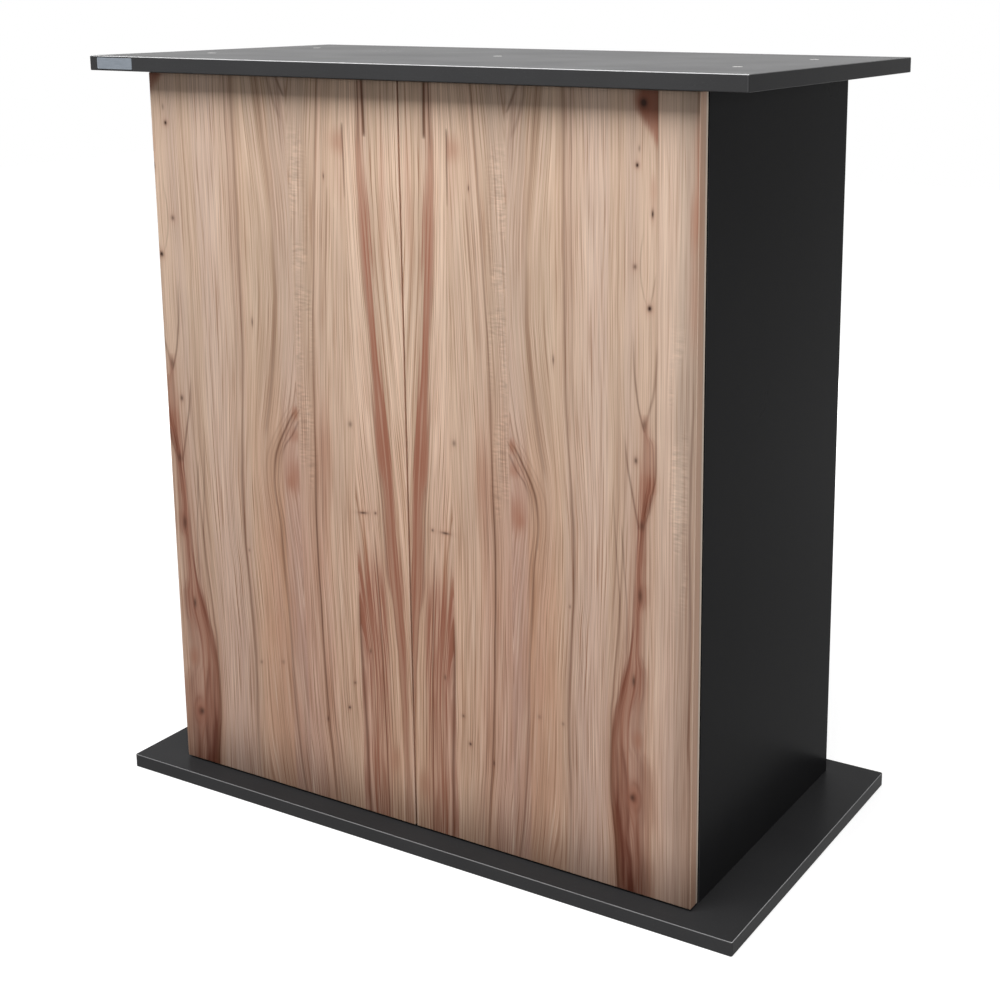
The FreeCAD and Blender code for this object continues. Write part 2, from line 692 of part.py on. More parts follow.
def make_arm(label, sign, z):
    """Hinge arm: a channel over the rail and a cranked neck that reaches into the cup to the pin."""
    body = new_body(label)
    place(body, ZERO, ZERO, z)
    front = body_front + s.arm_front
    sketch = sketch_on(body, "XY_Plane", ZERO)
    draw_rectangle(sketch, span(across(sign, mount_face), across(sign, arm_face)), (front, arm_back))
    pad(body, sketch, s.arm_half * 2, middle=True)
    sketch = sketch_on(body, "XY_Plane", ZERO)
    draw_rectangle(sketch, span(across(sign, mount_face), across(sign, rail_face)), (front + s.arm_wall, arm_back))
    pocket(body, sketch, (s.arm_half - s.arm_wall) * 2, middle=True)
    near = s.board_thickness + s.neck_from_side
    far = near + s.neck_width
    pivot = s.pivot_from_edge
    # The finger leans away from the cup's rim so that the rim passes it when the door is open
    finger_root = near - s.finger_half * 1.2
    root_y = pivot_y - s.finger_rise
    neck = [
        (mount_face, front + s.arm_wall), (mount_face, front - s.neck_lead / 2), (near, front - s.neck_lead),
        (near, root_y + s.finger_half + s.finger_half * 1.3),
        (finger_root, root_y + s.finger_half), (pivot, pivot_y + s.finger_half),
        (pivot, pivot_y - s.finger_half), (far - s.finger_half * 2, root_y - s.finger_half * 1.15),
        (far, root_y + s.finger_half * 0.5), (far, front - s.neck_lead), (arm_face, front),
        (arm_face, front + s.arm_wall)]
    sketch = sketch_on(body, "XY_Plane", ZERO)
    draw_outline(sketch, [(across(sign, inwards), y) for inwards, y in neck])
    pad(body, sketch, s.neck_half * 2, middle=True)
    sketch = sketch_on(body, "XY_Plane", ZERO)
    draw_circles(sketch, [(across(sign, pivot), pivot_y)], s.eye_radius)
    pad(body, sketch, s.neck_half * 2, middle=True)
    sketch = sketch_on(body, "XY_Plane", ZERO)
    draw_circles(sketch, [(across(sign, pivot), pivot_y)], s.hinge_pin_radius + s.hinge_pin_clearance)
    pocket(body, sketch, s.neck_half * 2, middle=True)
    spots = adjust_spots(ZERO)
    drill(body, "YZ_Plane", across(sign, arm_face), spots, s.adjust_screw_radius + s.hole_clearance,
          s.arm_wall, sign > 0)
    return body


def make_cup(label, sign, z):
    """Hinge cup: a round pot in the door, a winged flange on its face, a slot for the arm and the pin's bore."""
    body = new_body(label)
    middle_x = across(sign, cup_middle)
    sketch = sketch_on(body, "XZ_Plane", -door_back)
    draw_circles(sketch, [(middle_x, z)], s.cup_radius)
    pad(body, sketch, s.cup_depth)
    sketch = sketch_on(body, "XZ_Plane", -door_back)
    draw_circles(sketch, [(middle_x, z)], s.cup_radius + s.flange_rim)
    pad(body, sketch, s.flange_thickness, True)
    half_wing = s.flange_wing_width / 2
    wing_x = span(across(sign, cup_screw_x - half_wing), across(sign, cup_screw_x + half_wing))
    sketch = sketch_on(body, "XZ_Plane", -door_back)
    draw_rectangle(sketch, wing_x, (z - s.flange_wing_half, z + s.flange_wing_half))
    pad(body, sketch, s.flange_thickness, True)
    flange_top = -(door_back + s.flange_thickness)
    slot_near = s.cup_from_door_edge + s.cup_end_wall
    slot_far = cup_middle + cup_middle - slot_near
    sketch = sketch_on(body, "XZ_Plane", flange_top)
    draw_rectangle(sketch, span(across(sign, slot_near), across(sign, slot_far)),
                   (z - s.cup_slot_half, z + s.cup_slot_half))
    pocket(body, sketch, s.flange_thickness + s.cup_cavity_depth, True)
    screw_spots = [(across(sign, cup_screw_x), z + s.cup_screw_half_pitch * part) for part in (-1, 1)]
    drill(body, "XZ_Plane", flange_top, screw_spots, s.cup_screw_radius + s.hole_clearance, s.flange_thickness, True)
    sketch = sketch_on(body, "XY_Plane", z)
    draw_circles(sketch, [(across(sign, s.pivot_from_edge), pivot_y)], s.hinge_pin_radius + s.hole_clearance)
    pocket(body, sketch, s.hinge_pin_half * 2, middle=True)
    return body


# Hinges
for side, sign in SIDES.items():
    pins = []
    mount_screws = []
    cup_screws = []
    adjust_screws = []
    for place_name, z in hinge_levels.items():
        name = f"{side}_{place_name}_hinge"
        parts.append(make_mount(f"{name}_mount", sign, z))
        parts.append(make_arm(f"{name}_arm", sign, z))
        parts.append(make_cup(f"{name}_cup", sign, z))
        pin_x = across(sign, s.pivot_from_edge)
        pins.append(rod(f"{name}_pin", s.hinge_pin_radius, s.hinge_pin_half * 2, pin_x, pivot_y,
                        z - s.hinge_pin_half, (0, 0, 1)))
        for number, part in enumerate((-1, 1)):
            point = (across(sign, mount_face + s.fixing_head_height), body_front + s.mount_screw_from_front,
                     z + s.mount_screw_half_pitch * part)
            mount_screws.append(screw(f"{name}_mount_screw_{number}", point, (sign, 0, 0),
                                      s.mount_screw_head_radius, s.fixing_head_height, s.mount_screw_radius,
                                      s.mount_screw_length))
            point = (across(sign, cup_screw_x), door_back + s.flange_thickness + s.fixing_head_height,
                     z + s.cup_screw_half_pitch * part)
            cup_screws.append(screw(f"{name}_cup_screw_{number}", point, (0, -1, 0), s.cup_screw_head_radius,
                                    s.fixing_head_height, s.cup_screw_radius, s.cup_screw_length))
        for number, (y, level) in enumerate(adjust_spots(z)):
            point = (across(sign, arm_face + s.fixing_head_height), y, level)
            adjust_screws.append(screw(f"{name}_adjust_screw_{number}", point, (sign, 0, 0),
                                       s.adjust_screw_head_radius, s.fixing_head_height, s.adjust_screw_radius,
                                       s.adjust_screw_length))
    parts += [group(f"{side}_hinge_pins", pins), group(f"{side}_mount_screws", mount_screws),
              group(f"{side}_cup_screws", cup_screws), group(f"{side}_adjust_screws", adjust_screws)]

# Push latches under the top plate and their strike plates on the doors
bore_radius = s.plunger_radius + s.plunger_clearance
strike_face = door_back + s.strike_thickness
tip_face = strike_face + s.plunger_tip_gap
tip_length = latch_face - s.latch_front_gap - tip_face
latch_back = latch_face + s.latch_length
for side, sign in SIDES.items():
    x = s.latch_from_middle * sign
    housing = new_body(f"{side}_latch_housing")
    half_latch = s.latch_width / 2
    sketch = sketch_on(housing, "XZ_Plane", -latch_back)
    draw_rectangle(sketch, (x - half_latch, x + half_latch), (top_under - s.latch_height, top_under))
    pad(housing, sketch, s.latch_length)
    round_edges(housing, V(0, 1, 0), s.latch_ear_thickness,
                lambda middle: middle.z < top_under.value - s.latch_height.value / 2)
    ear_low = latch_face + s.latch_ear_behind
    sketch = sketch_on(housing, "XY_Plane", top_under)
    ear_reach = half_latch + s.latch_ear_reach
    draw_rectangle(sketch, (x - ear_reach, x + ear_reach), (ear_low, ear_low + s.latch_ear_length))
    pad(housing, sketch, s.latch_ear_thickness, True)
    bore_depth = s.plunger_length + s.latch_front_gap
    drill(housing, "XZ_Plane", -latch_face, [(x, latch_level)], bore_radius, bore_depth)
    ear_spots = [(x + latch_screw_reach * part, latch_screw_row) for part in (-1, 1)]
    drill(housing, "XY_Plane", top_under, ear_spots, s.latch_screw_radius + s.hole_clearance, s.latch_ear_thickness)
    latch_screws = []
    for number, (spot_x, spot_y) in enumerate(ear_spots):
        point = (spot_x, spot_y, top_under - s.latch_ear_thickness - s.fixing_head_height)
        latch_screws.append(screw(f"{side}_latch_screw_{number}", point, (0, 0, 1), s.latch_screw_head_radius,
                                  s.fixing_head_height, s.latch_screw_radius, s.latch_screw_length))
    tip = rod(f"{side}_plunger_tip", s.plunger_tip_radius, tip_length, x, tip_face, latch_level, (0, 1, 0))
    stem = rod(f"{side}_plunger_stem", s.plunger_radius, s.plunger_length, x, tip_face, latch_level, (0, 1, 0))
    plunger = fused(f"{side}_latch_plunger", [tip, stem])
    plunger.Label = f"{side}_latch_plunger"
    strike = rod(f"{side}_strike_plate", s.strike_radius, s.strike_thickness, x, door_back, latch_level, (0, 1, 0))
    strike.Label = f"{side}_strike_plate"
    parts += [housing, group(f"{side}_latch_screws", latch_screws), plunger, strike]

# Every object must have computed and every sub-part must be a valid solid before anything is written
doc.recompute()
for item in doc.Objects:
    if "Invalid" in item.State or "Error" in item.State:
        raise RuntimeError(f"{item.Label} did not compute: {item.State}")
for part in parts:
    if part.Shape.isNull() or not part.Shape.isValid() or not part.Shape.Solids:
        raise RuntimeError(f"{part.Label} has no valid solid")
os.makedirs("parts", exist_ok=True)
for part in parts:
    part.Shape.exportStep(os.path.join("parts", f"{part.Label}.step"))
print(len(parts), "sub-parts,", sum(len(part.Shape.Solids) for part in parts), "solids")
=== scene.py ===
"""Looks of the aquarium stand: dark boards, two doors in a wood decor, metal and plastic fittings."""
import json
import math

import bmesh
import bpy
import numpy
from mathutils import Matrix, Vector


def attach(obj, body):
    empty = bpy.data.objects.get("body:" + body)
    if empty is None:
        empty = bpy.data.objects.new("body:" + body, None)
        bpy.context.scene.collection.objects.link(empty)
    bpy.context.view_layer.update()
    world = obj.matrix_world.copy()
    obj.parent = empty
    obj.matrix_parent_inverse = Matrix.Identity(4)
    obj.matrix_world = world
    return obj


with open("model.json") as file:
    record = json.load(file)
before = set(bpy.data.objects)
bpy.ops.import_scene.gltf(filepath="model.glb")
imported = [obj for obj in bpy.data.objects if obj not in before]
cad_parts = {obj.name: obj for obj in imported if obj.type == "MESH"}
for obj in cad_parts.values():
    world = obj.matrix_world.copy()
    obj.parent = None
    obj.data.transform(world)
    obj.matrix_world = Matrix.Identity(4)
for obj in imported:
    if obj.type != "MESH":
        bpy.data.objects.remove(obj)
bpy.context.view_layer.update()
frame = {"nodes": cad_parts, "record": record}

MILLIMETRES = 1000.0
# Sockets of a Mix node for colours, whose names repeat for each type of data
MIX_SHARE = 0
MIX_FIRST = 6
MIX_SECOND = 7
MIX_RESULT = 2


def linear(*rgb):
    """Linear light from screen values of 0 to 255, by the sRGB curve."""
    shares = [value / 255 for value in rgb]
    return tuple(c / 12.92 if c < 0.04045 else ((c + 0.055) / 1.055) ** 2.4 for c in shares)


def anthracite(tone):
    """Grey with a trace of blue, from a screen value."""
    return linear(tone, tone, tone + 1)


def node_box(name):
    """Least and greatest corner of a CAD piece in metres, in its own coordinates."""
    corners = frame["nodes"][name].bound_box
    return [[limit(corner[axis] for corner in corners) for axis in range(3)] for limit in (min, max)]


class Value:
    """A number in a shader; arithmetic on it adds Math nodes."""

    def __init__(self, graph, socket):
        self.graph = graph
        self.socket = socket

    def __add__(self, other):
        return self.graph.math("ADD", self, other)

    def __radd__(self, other):
        return self.graph.math("ADD", other, self)

    def __sub__(self, other):
        return self.graph.math("SUBTRACT", self, other)

    def __rsub__(self, other):
        return self.graph.math("SUBTRACT", other, self)

    def __mul__(self, other):
        return self.graph.math("MULTIPLY", self, other)

    def __truediv__(self, other):
        return self.graph.math("DIVIDE", self, other)


class Graph:
    """One material's node tree, built from left to right."""

    def __init__(self, name):
        self.material = bpy.data.materials.new(name)
        self.material.use_nodes = True
        self.tree = self.material.node_tree
        self.tree.nodes.clear()
        self.places = self.node("ShaderNodeTexCoord")

    def node(self, kind, **settings):
        made = self.tree.nodes.new(kind)
        for name, value in settings.items():
            setattr(made, name, value)
        return made

    def feed(self, socket, item):
        """Links an item to a socket, or sets the socket if the item is a plain number or colour."""
        if isinstance(item, Value):
            self.tree.links.new(item.socket, socket)
        elif isinstance(item, tuple) and len(item) == 3 and socket.type == "RGBA":
            socket.default_value = (*item, 1.0)
        else:
            socket.default_value = item

    def math(self, operation, *items, clamp=False):
        made = self.node("ShaderNodeMath", operation=operation, use_clamp=clamp)
        for socket, item in zip(made.inputs, items):
            self.feed(socket, item)
        return Value(self, made.outputs[0])

    def split(self, output):
        """The three numbers of a coordinate output."""
        made = self.node("ShaderNodeSeparateXYZ")
        self.tree.links.new(self.places.outputs[output], made.inputs[0])
        return [Value(self, socket) for socket in made.outputs]

    def noise(self, x, y, z, detail=2, rough=0.5):
        joined = self.node("ShaderNodeCombineXYZ")
        for socket, item in zip(joined.inputs, (x, y, z)):
            self.feed(socket, item)
        made = self.node("ShaderNodeTexNoise")
        self.tree.links.new(joined.outputs[0], made.inputs["Vector"])
        made.inputs["Scale"].default_value = 1.0
        made.inputs["Detail"].default_value = detail
        made.inputs["Roughness"].default_value = rough
        return Value(self, made.outputs[0])

    def cloud(self, places, scale, detail=2, rough=0.5):
        """Noise with one scale, or with a scale for each direction."""
        scales = scale if isinstance(scale, tuple) else (scale, scale, scale)
        return self.noise(*(place * each for place, each in zip(places, scales)), detail, rough)

    def curve(self, value, points):
        """A smooth curve through (value, result) points, level beyond its ends."""
        points = sorted(points)
        low, high = points[0][0], points[-1][0]
        results = [result for _, result in points]
        least = min(results)
        spread = max(results) - least or 1.0
        made = self.node("ShaderNodeFloatCurve")
        line = made.mapping.curves[0]
        while len(line.points) < len(points):
            line.points.new(0.5, 0.5)
        for point, (place, result) in zip(line.points, points):
            point.location = ((place - low) / (high - low), (result - least) / spread)
            point.handle_type = "AUTO_CLAMPED"
        made.mapping.extend = "HORIZONTAL"
        made.mapping.update()
        self.feed(made.inputs["Value"], (value - low) * (1 / (high - low)))
        return Value(self, made.outputs[0]) * spread + least

    def smooth(self, value, low, high):
        """0 up to the low value, 1 from the high one, with a smooth step between."""
        made = self.node("ShaderNodeMapRange", interpolation_type="SMOOTHSTEP")
        for name, item in (("Value", value), ("From Min", low), ("From Max", high)):
            self.feed(made.inputs[name], item)
        return Value(self, made.outputs[0])

    def window(self, value, rise, fall):
        """1 between two smooth steps, each given as (low, high)."""
        return self.smooth(value, *rise) * (1 - self.smooth(value, *fall))

    def bell(self, value, fall=1.0):
        """1 at zero, falling smoothly to both sides."""
        return self.exp(value * value * -fall)

    def exp(self, value):
        return self.math("EXPONENT", value)

    def floor(self, value):
        return self.math("FLOOR", value)

    def sqrt(self, value):
        return self.math("SQRT", value)

    def abs(self, value):
        return self.math("ABSOLUTE", value)

    def max(self, first, second):
        return self.math("MAXIMUM", first, second)

    def min(self, first, second):
        return self.math("MINIMUM", first, second)

    def clamp(self, value):
        return self.math("ADD", value, 0.0, clamp=True)

    def mix(self, share, first, second):
        """A colour between two colours."""
        made = self.node("ShaderNodeMix", data_type="RGBA")
        self.feed(made.inputs[MIX_SHARE], share)
        self.feed(made.inputs[MIX_FIRST], first)
        self.feed(made.inputs[MIX_SECOND], second)
        return Value(self, made.outputs[MIX_RESULT])

    def shade(self, colour, factor):
        """A colour times a number."""
        made = self.node("ShaderNodeVectorMath", operation="SCALE")
        self.feed(made.inputs[0], colour)
        self.feed(made.inputs["Scale"], factor)
        return Value(self, made.outputs[0])

    def bump(self, height, distance):
        made = self.node("ShaderNodeBump")
        made.inputs["Strength"].default_value = 1.0
        made.inputs["Distance"].default_value = distance
        self.feed(made.inputs["Height"], height)
        return Value(self, made.outputs[0])

    def surface(self, **inputs):
        """The Principled shader; the names are those of its sockets with _ for a space."""
        shader = self.node("ShaderNodeBsdfPrincipled")
        for name, item in inputs.items():
            self.feed(shader.inputs[name.replace("_", " ")], item)
        output = self.node("ShaderNodeOutputMaterial")
        self.tree.links.new(shader.outputs[0], output.inputs["Surface"])
        return self.material


# Colours of the door decor
TAN = linear(203, 173, 148)
PINK = linear(206, 179, 162)
PALE = linear(221, 196, 175)
BROWN = linear(207, 163, 136)
MAUVE = linear(202, 164, 149)
GRAIN = linear(160, 114, 86)
RED = linear(163, 107, 86)
RUST = linear(172, 116, 92)
DARK = linear(112, 62, 47)
LINE = linear(96, 56, 37)
KNOT = linear(62, 40, 32)
# Lines that the grain or dark lines follow: height and distance from the middle, in millimetres
GUIDES = {
    "streak": [
        (832, 39), (740, 39), (700, 37), (660, 34.5), (620, 31.5), (580, 28.5), (540, 26), (500, 23),
        (460, 20), (420, 17), (380, 14), (340, 11.5), (300, 9), (240, 5), (180, 1.5), (18, 0),
    ],
    "second": [
        (832, 88), (780, 92.5), (720, 96.5), (680, 99), (640, 101.5), (600, 104), (560, 106),
        (500, 107.5), (420, 108.5), (320, 110), (240, 108), (180, 107), (120, 104), (80, 100),
        (18, 96.5),
    ],
    "eye": [
        (832, 165), (780, 160), (740, 156.5), (700, 153.5), (660, 152), (620, 152), (580, 154),
        (560, 155.5), (520, 160), (480, 166), (440, 172), (400, 175), (370, 173), (340, 170), (300, 166),
        (240, 163), (160, 160), (80, 155), (18, 149),
    ],
    "arc": [
        (500, 126), (480, 131), (468, 138), (455, 145.5), (443, 152), (432, 157), (420, 160.5),
        (405, 162.5), (390, 163.3), (375, 162), (362, 159.5), (345, 157), (325, 155.7), (300, 154),
        (270, 152), (240, 150.7), (200, 149), (160, 148.2), (120, 146.5), (85, 144), (60, 142),
        (35, 139), (18, 136.5),
    ],
    "third": [
        (832, 194), (700, 195), (620, 196), (540, 196.5), (500, 198), (460, 200.5), (420, 203),
        (380, 204.5), (340, 204.5), (300, 203), (260, 201), (220, 199), (170, 198.5), (100, 200),
        (18, 198),
    ],
    "bulge": [
        (832, 262), (560, 262), (480, 263), (400, 261), (330, 258), (280, 255), (230, 250.5), (190, 248),
        (140, 248), (100, 251), (60, 255), (18, 257),
    ],
}
# Middle distance of each guide that bends the grain
GUIDE_MIDDLE = {"streak": 25, "second": 103, "eye": 160, "third": 199, "bulge": 257}
# How far the grain follows each guide: distance and share
FOLLOW = {
    "streak": [(0, 1), (20, 1), (57, 0.55), (58.5, 0), (340, 0)],
    "second": [
        (0, 0), (57, 0), (58.5, 0.5), (75, 0.8), (90, 1), (118, 1), (129, 0.6), (131, 0), (340, 0),
    ],
    "eye": [(0, 0), (129, 0), (131, 0.9), (150, 1), (172, 1), (195, 0), (340, 0)],
    "third": [(0, 0), (172, 0), (195, 1), (212, 1), (245, 0), (340, 0)],
    "bulge": [(0, 0), (215, 0), (245, 0.8), (262, 1), (275, 0.4), (296, 0), (340, 0)],
}
# Dark growth lines: guide, offset, half width, strength by height
GROWTH_LINES = [
    ("second", 0, 1.25, [
        (832, 0.75), (760, 0.5), (640, 0.55), (560, 0.5), (440, 0.7), (340, 0.95), (220, 0.8),
        (120, 0.8), (60, 0.6), (18, 0.5),
    ]),
    ("second", -8.5, 0.9, [
        (832, 0.1), (700, 0.3), (600, 0.35), (520, 0.2), (440, 0.35), (300, 0.15), (150, 0.3), (18, 0.2),
    ]),
    ("second", -16, 0.8, [(720, 0), (690, 0.35), (600, 0.25), (480, 0.15), (300, 0.1), (18, 0.1)]),
    ("second", -25, 0.8, [(700, 0), (670, 0.25), (560, 0.2), (400, 0.15), (18, 0.05)]),
    ("third", 0, 1.7, [
        (832, 0.5), (700, 0.5), (600, 0.55), (480, 0.5), (380, 0.75), (300, 0.65), (220, 0.6),
        (120, 0.5), (60, 0.35), (18, 0.2),
    ]),
    ("third", 8.5, 0.8, [(832, 0.5), (640, 0.4), (560, 0.35), (480, 0.2), (400, 0), (18, 0)]),
    ("arc", 0, 1.6, [
        (500, 0), (484, 0), (470, 0.7), (440, 0.9), (410, 0.7), (385, 0.6), (350, 0.6), (320, 0.75),
        (260, 0.5), (200, 0.5), (120, 0.5), (70, 0.6), (18, 0.5),
    ]),
    ("arc", 5.5, 0.9, [
        (500, 0), (470, 0.25), (440, 0.25), (400, 0.1), (360, 0.2), (300, 0.1), (240, 0), (18, 0),
    ]),
    ("arc", 10.5, 1.2, [
        (500, 0.1), (470, 0.2), (430, 0.2), (380, 0.15), (330, 0.15), (250, 0.1), (180, 0), (18, 0),
    ]),
    ("arc", -5, 0.9, [
        (480, 0), (455, 0.5), (430, 0.45), (400, 0.25), (370, 0.35), (330, 0.3), (260, 0.2), (18, 0.1),
    ]),
    ("eye", 0, 1.8, [
        (832, 0.4), (780, 0.3), (700, 0.35), (600, 0.35), (520, 0.45), (460, 0.4), (420, 0), (18, 0),
    ]),
    ("bulge", 0, 1.3, [
        (832, 0), (520, 0), (480, 0.1), (400, 0.3), (330, 0.45), (250, 0.5), (190, 0.6), (140, 0.6),
        (80, 0.8), (18, 0.4),
    ]),
    ("bulge", -7, 0.9, [(832, 0.1), (600, 0.15), (440, 0.3), (360, 0.35), (300, 0.2), (18, 0)]),
]
# Dark lines with paths of their own: path, half width, strength by height
FREE_LINES = [
    ([(462, 130), (450, 136), (441, 143), (432, 149), (420, 152.5), (405, 154), (380, 153), (360, 150)],
     1.5, [(464, 0), (456, 0.6), (440, 0.6), (425, 0.35), (400, 0.15), (360, 0)]),
    ([(832, 32.5), (775, 31.5)], 1.9, [(832, 1.2), (782, 1.1), (775, 0)]),
    ([(832, 38), (740, 38.5)], 0.8, [(832, 1.1), (785, 0.9), (760, 0.3), (740, 0)]),
    ([(832, 142), (820, 137), (805, 130)], 1.6, [(832, 0.6), (812, 0.7), (804, 0)]),
    ([(822, 150), (800, 143), (780, 135)], 2.2, [(832, 0.4), (800, 0.4), (778, 0)]),
    ([(340, 34), (280, 30.5), (200, 27.5), (160, 26.5), (18, 24)],
     1.2, [(350, 0), (310, 0.5), (250, 0.6), (150, 0.55), (18, 0.4)]),
    ([(265, 57.5), (215, 56.5), (180, 55.5), (150, 54), (80, 52), (18, 50)],
     2.1, [(275, 0), (240, 0.7), (200, 0.85), (150, 0.8), (90, 0.85), (40, 0.6), (18, 0.5)]),
    ([(600, 271), (565, 273), (545, 275.5), (530, 278), (518, 281), (508, 284)],
     1.1, [(610, 0), (565, 0.6), (520, 0.8), (506, 0)]),
    ([(600, 298), (560, 296), (545, 294), (530, 290), (518, 287), (508, 285)],
     1.6, [(600, 0), (560, 0.5), (530, 0.5), (508, 0.3)]),
    ([(500, 262), (470, 266), (450, 270), (430, 274), (412, 278)],
     1.2, [(505, 0), (470, 0.6), (415, 0.7), (408, 0)]),
    ([(440, 250), (400, 252), (350, 256), (320, 258), (285, 257)],
     1.0, [(460, 0), (400, 0.45), (320, 0.4), (280, 0.2)]),
    ([(410, 259), (370, 262), (310, 265.5), (285, 265)],
     1.0, [(415, 0), (380, 0.5), (300, 0.5), (270, 0)]),
    ([(832, 296.3), (475, 297), (452, 294.5), (435, 291), (420, 287), (412, 284)],
     1.0, [(832, 0.7), (740, 0.35), (600, 0.2), (550, 0.45), (460, 0.7), (425, 0.7), (408, 0), (18, 0)]),
    ([(785, 58.6), (712, 58.6)], 1.1, [(788, 0), (778, 0.9), (745, 0.8), (715, 0.4), (708, 0)]),
    ([
        (832, 338), (700, 339), (560, 338), (500, 336), (440, 335), (300, 335.5), (200, 336), (140, 338),
        (18, 337),
    ], 1.7, [
        (832, 0.6), (790, 0.2), (600, 0.2), (540, 0.5), (440, 0.6), (300, 0.7), (200, 0.65), (140, 0.4),
        (18, 0.5),
    ]),
    ([(700, 281), (672, 278.5), (660, 279), (640, 283), (632, 286)],
     0.9, [(705, 0), (670, 0.4), (640, 0.3), (630, 0)]),
    ([(660, 295), (645, 293), (634, 291)], 0.9, [(665, 0), (645, 0.4), (632, 0.2)]),
]
# Pin knots: height, distance, half height, half width, strength
KNOTS = [
    (762.5, 274.3, 2.8, 2.0, 0.9), (718, 290.7, 5.0, 1.5, 0.8), (667, 272.7, 3.4, 2.6, 0.5),
    (628.5, 289.6, 3.6, 2.8, 0.9), (778, 276.3, 4.0, 1.3, 0.35), (567, 183, 6.0, 1.4, 0.5),
    (465, 61.5, 4.2, 2.8, 0.42), (366, 31.3, 2.0, 1.8, 0.6), (365.5, 48, 1.8, 6.5, 0.65),
    (478, 275, 4.0, 2.4, 0.6), (314, 200, 2.6, 1.6, 0.3), (184.5, 191.2, 2.6, 2.1, 0.3),
    (185.5, 162, 3.2, 2.9, 0.22), (164, 67.3, 2.3, 2.4, 0.45), (133.7, 75.8, 2.3, 2.1, 0.75),
    (119, 105.7, 4.5, 1.6, 0.55), (203, 44, 4.0, 1.8, 0.4), (341, 280, 10.0, 3.4, 0.5),
    (250, 273.5, 8.0, 2.4, 0.6), (729.5, 84.5, 4.0, 1.0, 0.6), (820, 281, 6.0, 5.6, 1.0),
    (123.5, 273.5, 5.0, 4.0, 0.6), (413, 282, 7.0, 4.0, 0.45), (515, 284, 7.0, 2.8, 0.4),
]
# Reddish patches: height, distance, half height, half width, inner side, strength
PATCHES = [
    (399, 137, 24, 14, 130, 0.6), (394, 142, 10, 6, 130, 0.45), (187, 280, 13, 8, 262, 0.5),
    (472, 132, 10, 8, 130, 0.65), (447, 134, 10, 10, 130, 0.5), (767, 61, 17, 18, 58, 0.45),
    (735, 61, 45, 13, 58, 0.15), (716, 340, 42, 11, 297, 0.6), (775, 340, 50, 6, 297, 0.5),
    (700, 11, 90, 6, 0, 0.4), (740, 291, 18, 5, 262, 0.3), (70, 14, 22, 9, 0, 0.4),
    (430, 96, 75, 13, 58, 0.4), (420, 142, 70, 16, 130, 0.3), (640, 339, 60, 10, 297, 0.35),
]
# Knots with a ring round them: height, distance, half height, half width, strength
RINGED_KNOTS = [(123.5, 276, 17, 8, 0.9), (820, 281, 9, 8, 1.0)]
# Red streak beside the gap: its sides and its strength by height
STREAK_LEFT = [
    (832, 31.5), (800, 31.5), (760, 32), (740, 31), (700, 28), (660, 26.5), (620, 24.5), (580, 21.5),
    (560, 20), (520, 17.5), (480, 13.5), (440, 10.5), (400, 7.5), (340, 4), (300, 0), (260, -3),
    (18, -8),
]
STREAK_RIGHT = [
    (832, 40.5), (800, 40.5), (760, 42.5), (700, 43), (660, 41), (620, 38), (580, 34), (560, 32.5),
    (520, 31.5), (480, 31), (440, 29.5), (420, 27), (400, 22), (380, 20), (340, 19), (300, 18),
    (260, 11), (200, 7), (100, 4), (18, 2),
]
STREAK_STRENGTH = [
    (832, 0.4), (790, 0.4), (770, 0.48), (740, 0.55), (700, 0.68), (660, 0.8), (600, 0.85), (560, 0.95),
    (500, 0.8), (440, 0.85), (400, 0.8), (360, 0.75), (300, 0.8), (260, 0.75), (220, 0.7), (150, 0.5),
    (18, 0.3),
]
# Heartwood streak towards the outer edge: its sides, strength and darkness by height
HEART_LEFT = [
    (520, 283), (500, 282), (470, 280), (440, 278.5), (420, 277.5), (405, 277), (390, 275.5),
    (360, 273.5), (340, 273), (320, 272.5), (290, 269.5), (270, 266), (250, 261), (230, 256.5),
    (200, 251), (160, 248.5), (120, 249.5), (90, 251.5), (60, 254), (18, 256),
]
HEART_RIGHT = [
    (520, 287), (505, 290), (490, 297), (460, 298), (445, 295), (430, 291), (420, 288), (405, 286),
    (380, 285.5), (360, 284), (345, 286), (330, 284), (318, 281), (290, 281), (270, 284), (250, 287),
    (225, 284), (200, 283), (170, 290), (140, 297), (110, 298), (80, 293), (50, 297), (18, 298),
]
HEART_STRENGTH = [
    (526, 0), (512, 0.6), (490, 0.5), (472, 0.6), (455, 0.9), (430, 1), (412, 1.1), (390, 1), (340, 1),
    (310, 1), (280, 0.95), (250, 0.95), (200, 0.9), (160, 0.8), (120, 0.82), (80, 0.9), (45, 1), (18, 1),
]
HEART_DARK = [
    (520, 0.1), (475, 0), (440, 0.3), (412, 0.6), (380, 0.4), (340, 0.5), (280, 0.28), (200, 0.24),
    (150, 0.27), (100, 0.36), (45, 0.55), (18, 0.7),
]
# Strength of the dark line along the heartwood's left side, by height
HEART_EDGE = [(300, 0), (260, 0.2), (210, 0.35), (190, 0.6), (120, 0.7), (60, 0.75), (18, 0.5)]
# Shares of pink and brown across the staves, by distance
PINKNESS = [
    (0, 0.2), (20, 0.15), (45, 0.45), (57, 0.35), (60, 0.2), (100, 0.3), (113, 0.5), (129, 0.6),
    (132, 0.75), (150, 0.6), (153, 0.1), (185, 0.1), (195, 0.4), (206, 0.8), (243, 0.85), (246, 0.3),
    (260, 0.3), (264, 0.7), (280, 0.5), (295, 0.25), (298, 0.75), (325, 0.9), (340, 0.5),
]
BROWNNESS = [
    (0, 0.35), (50, 0.3), (75, 0.15), (95, 0.6), (110, 0.8), (150, 0.9), (175, 0.65), (190, 0.3),
    (200, 0.1), (245, 0.1), (296, 0.2), (300, 0.1), (340, 0.25),
]
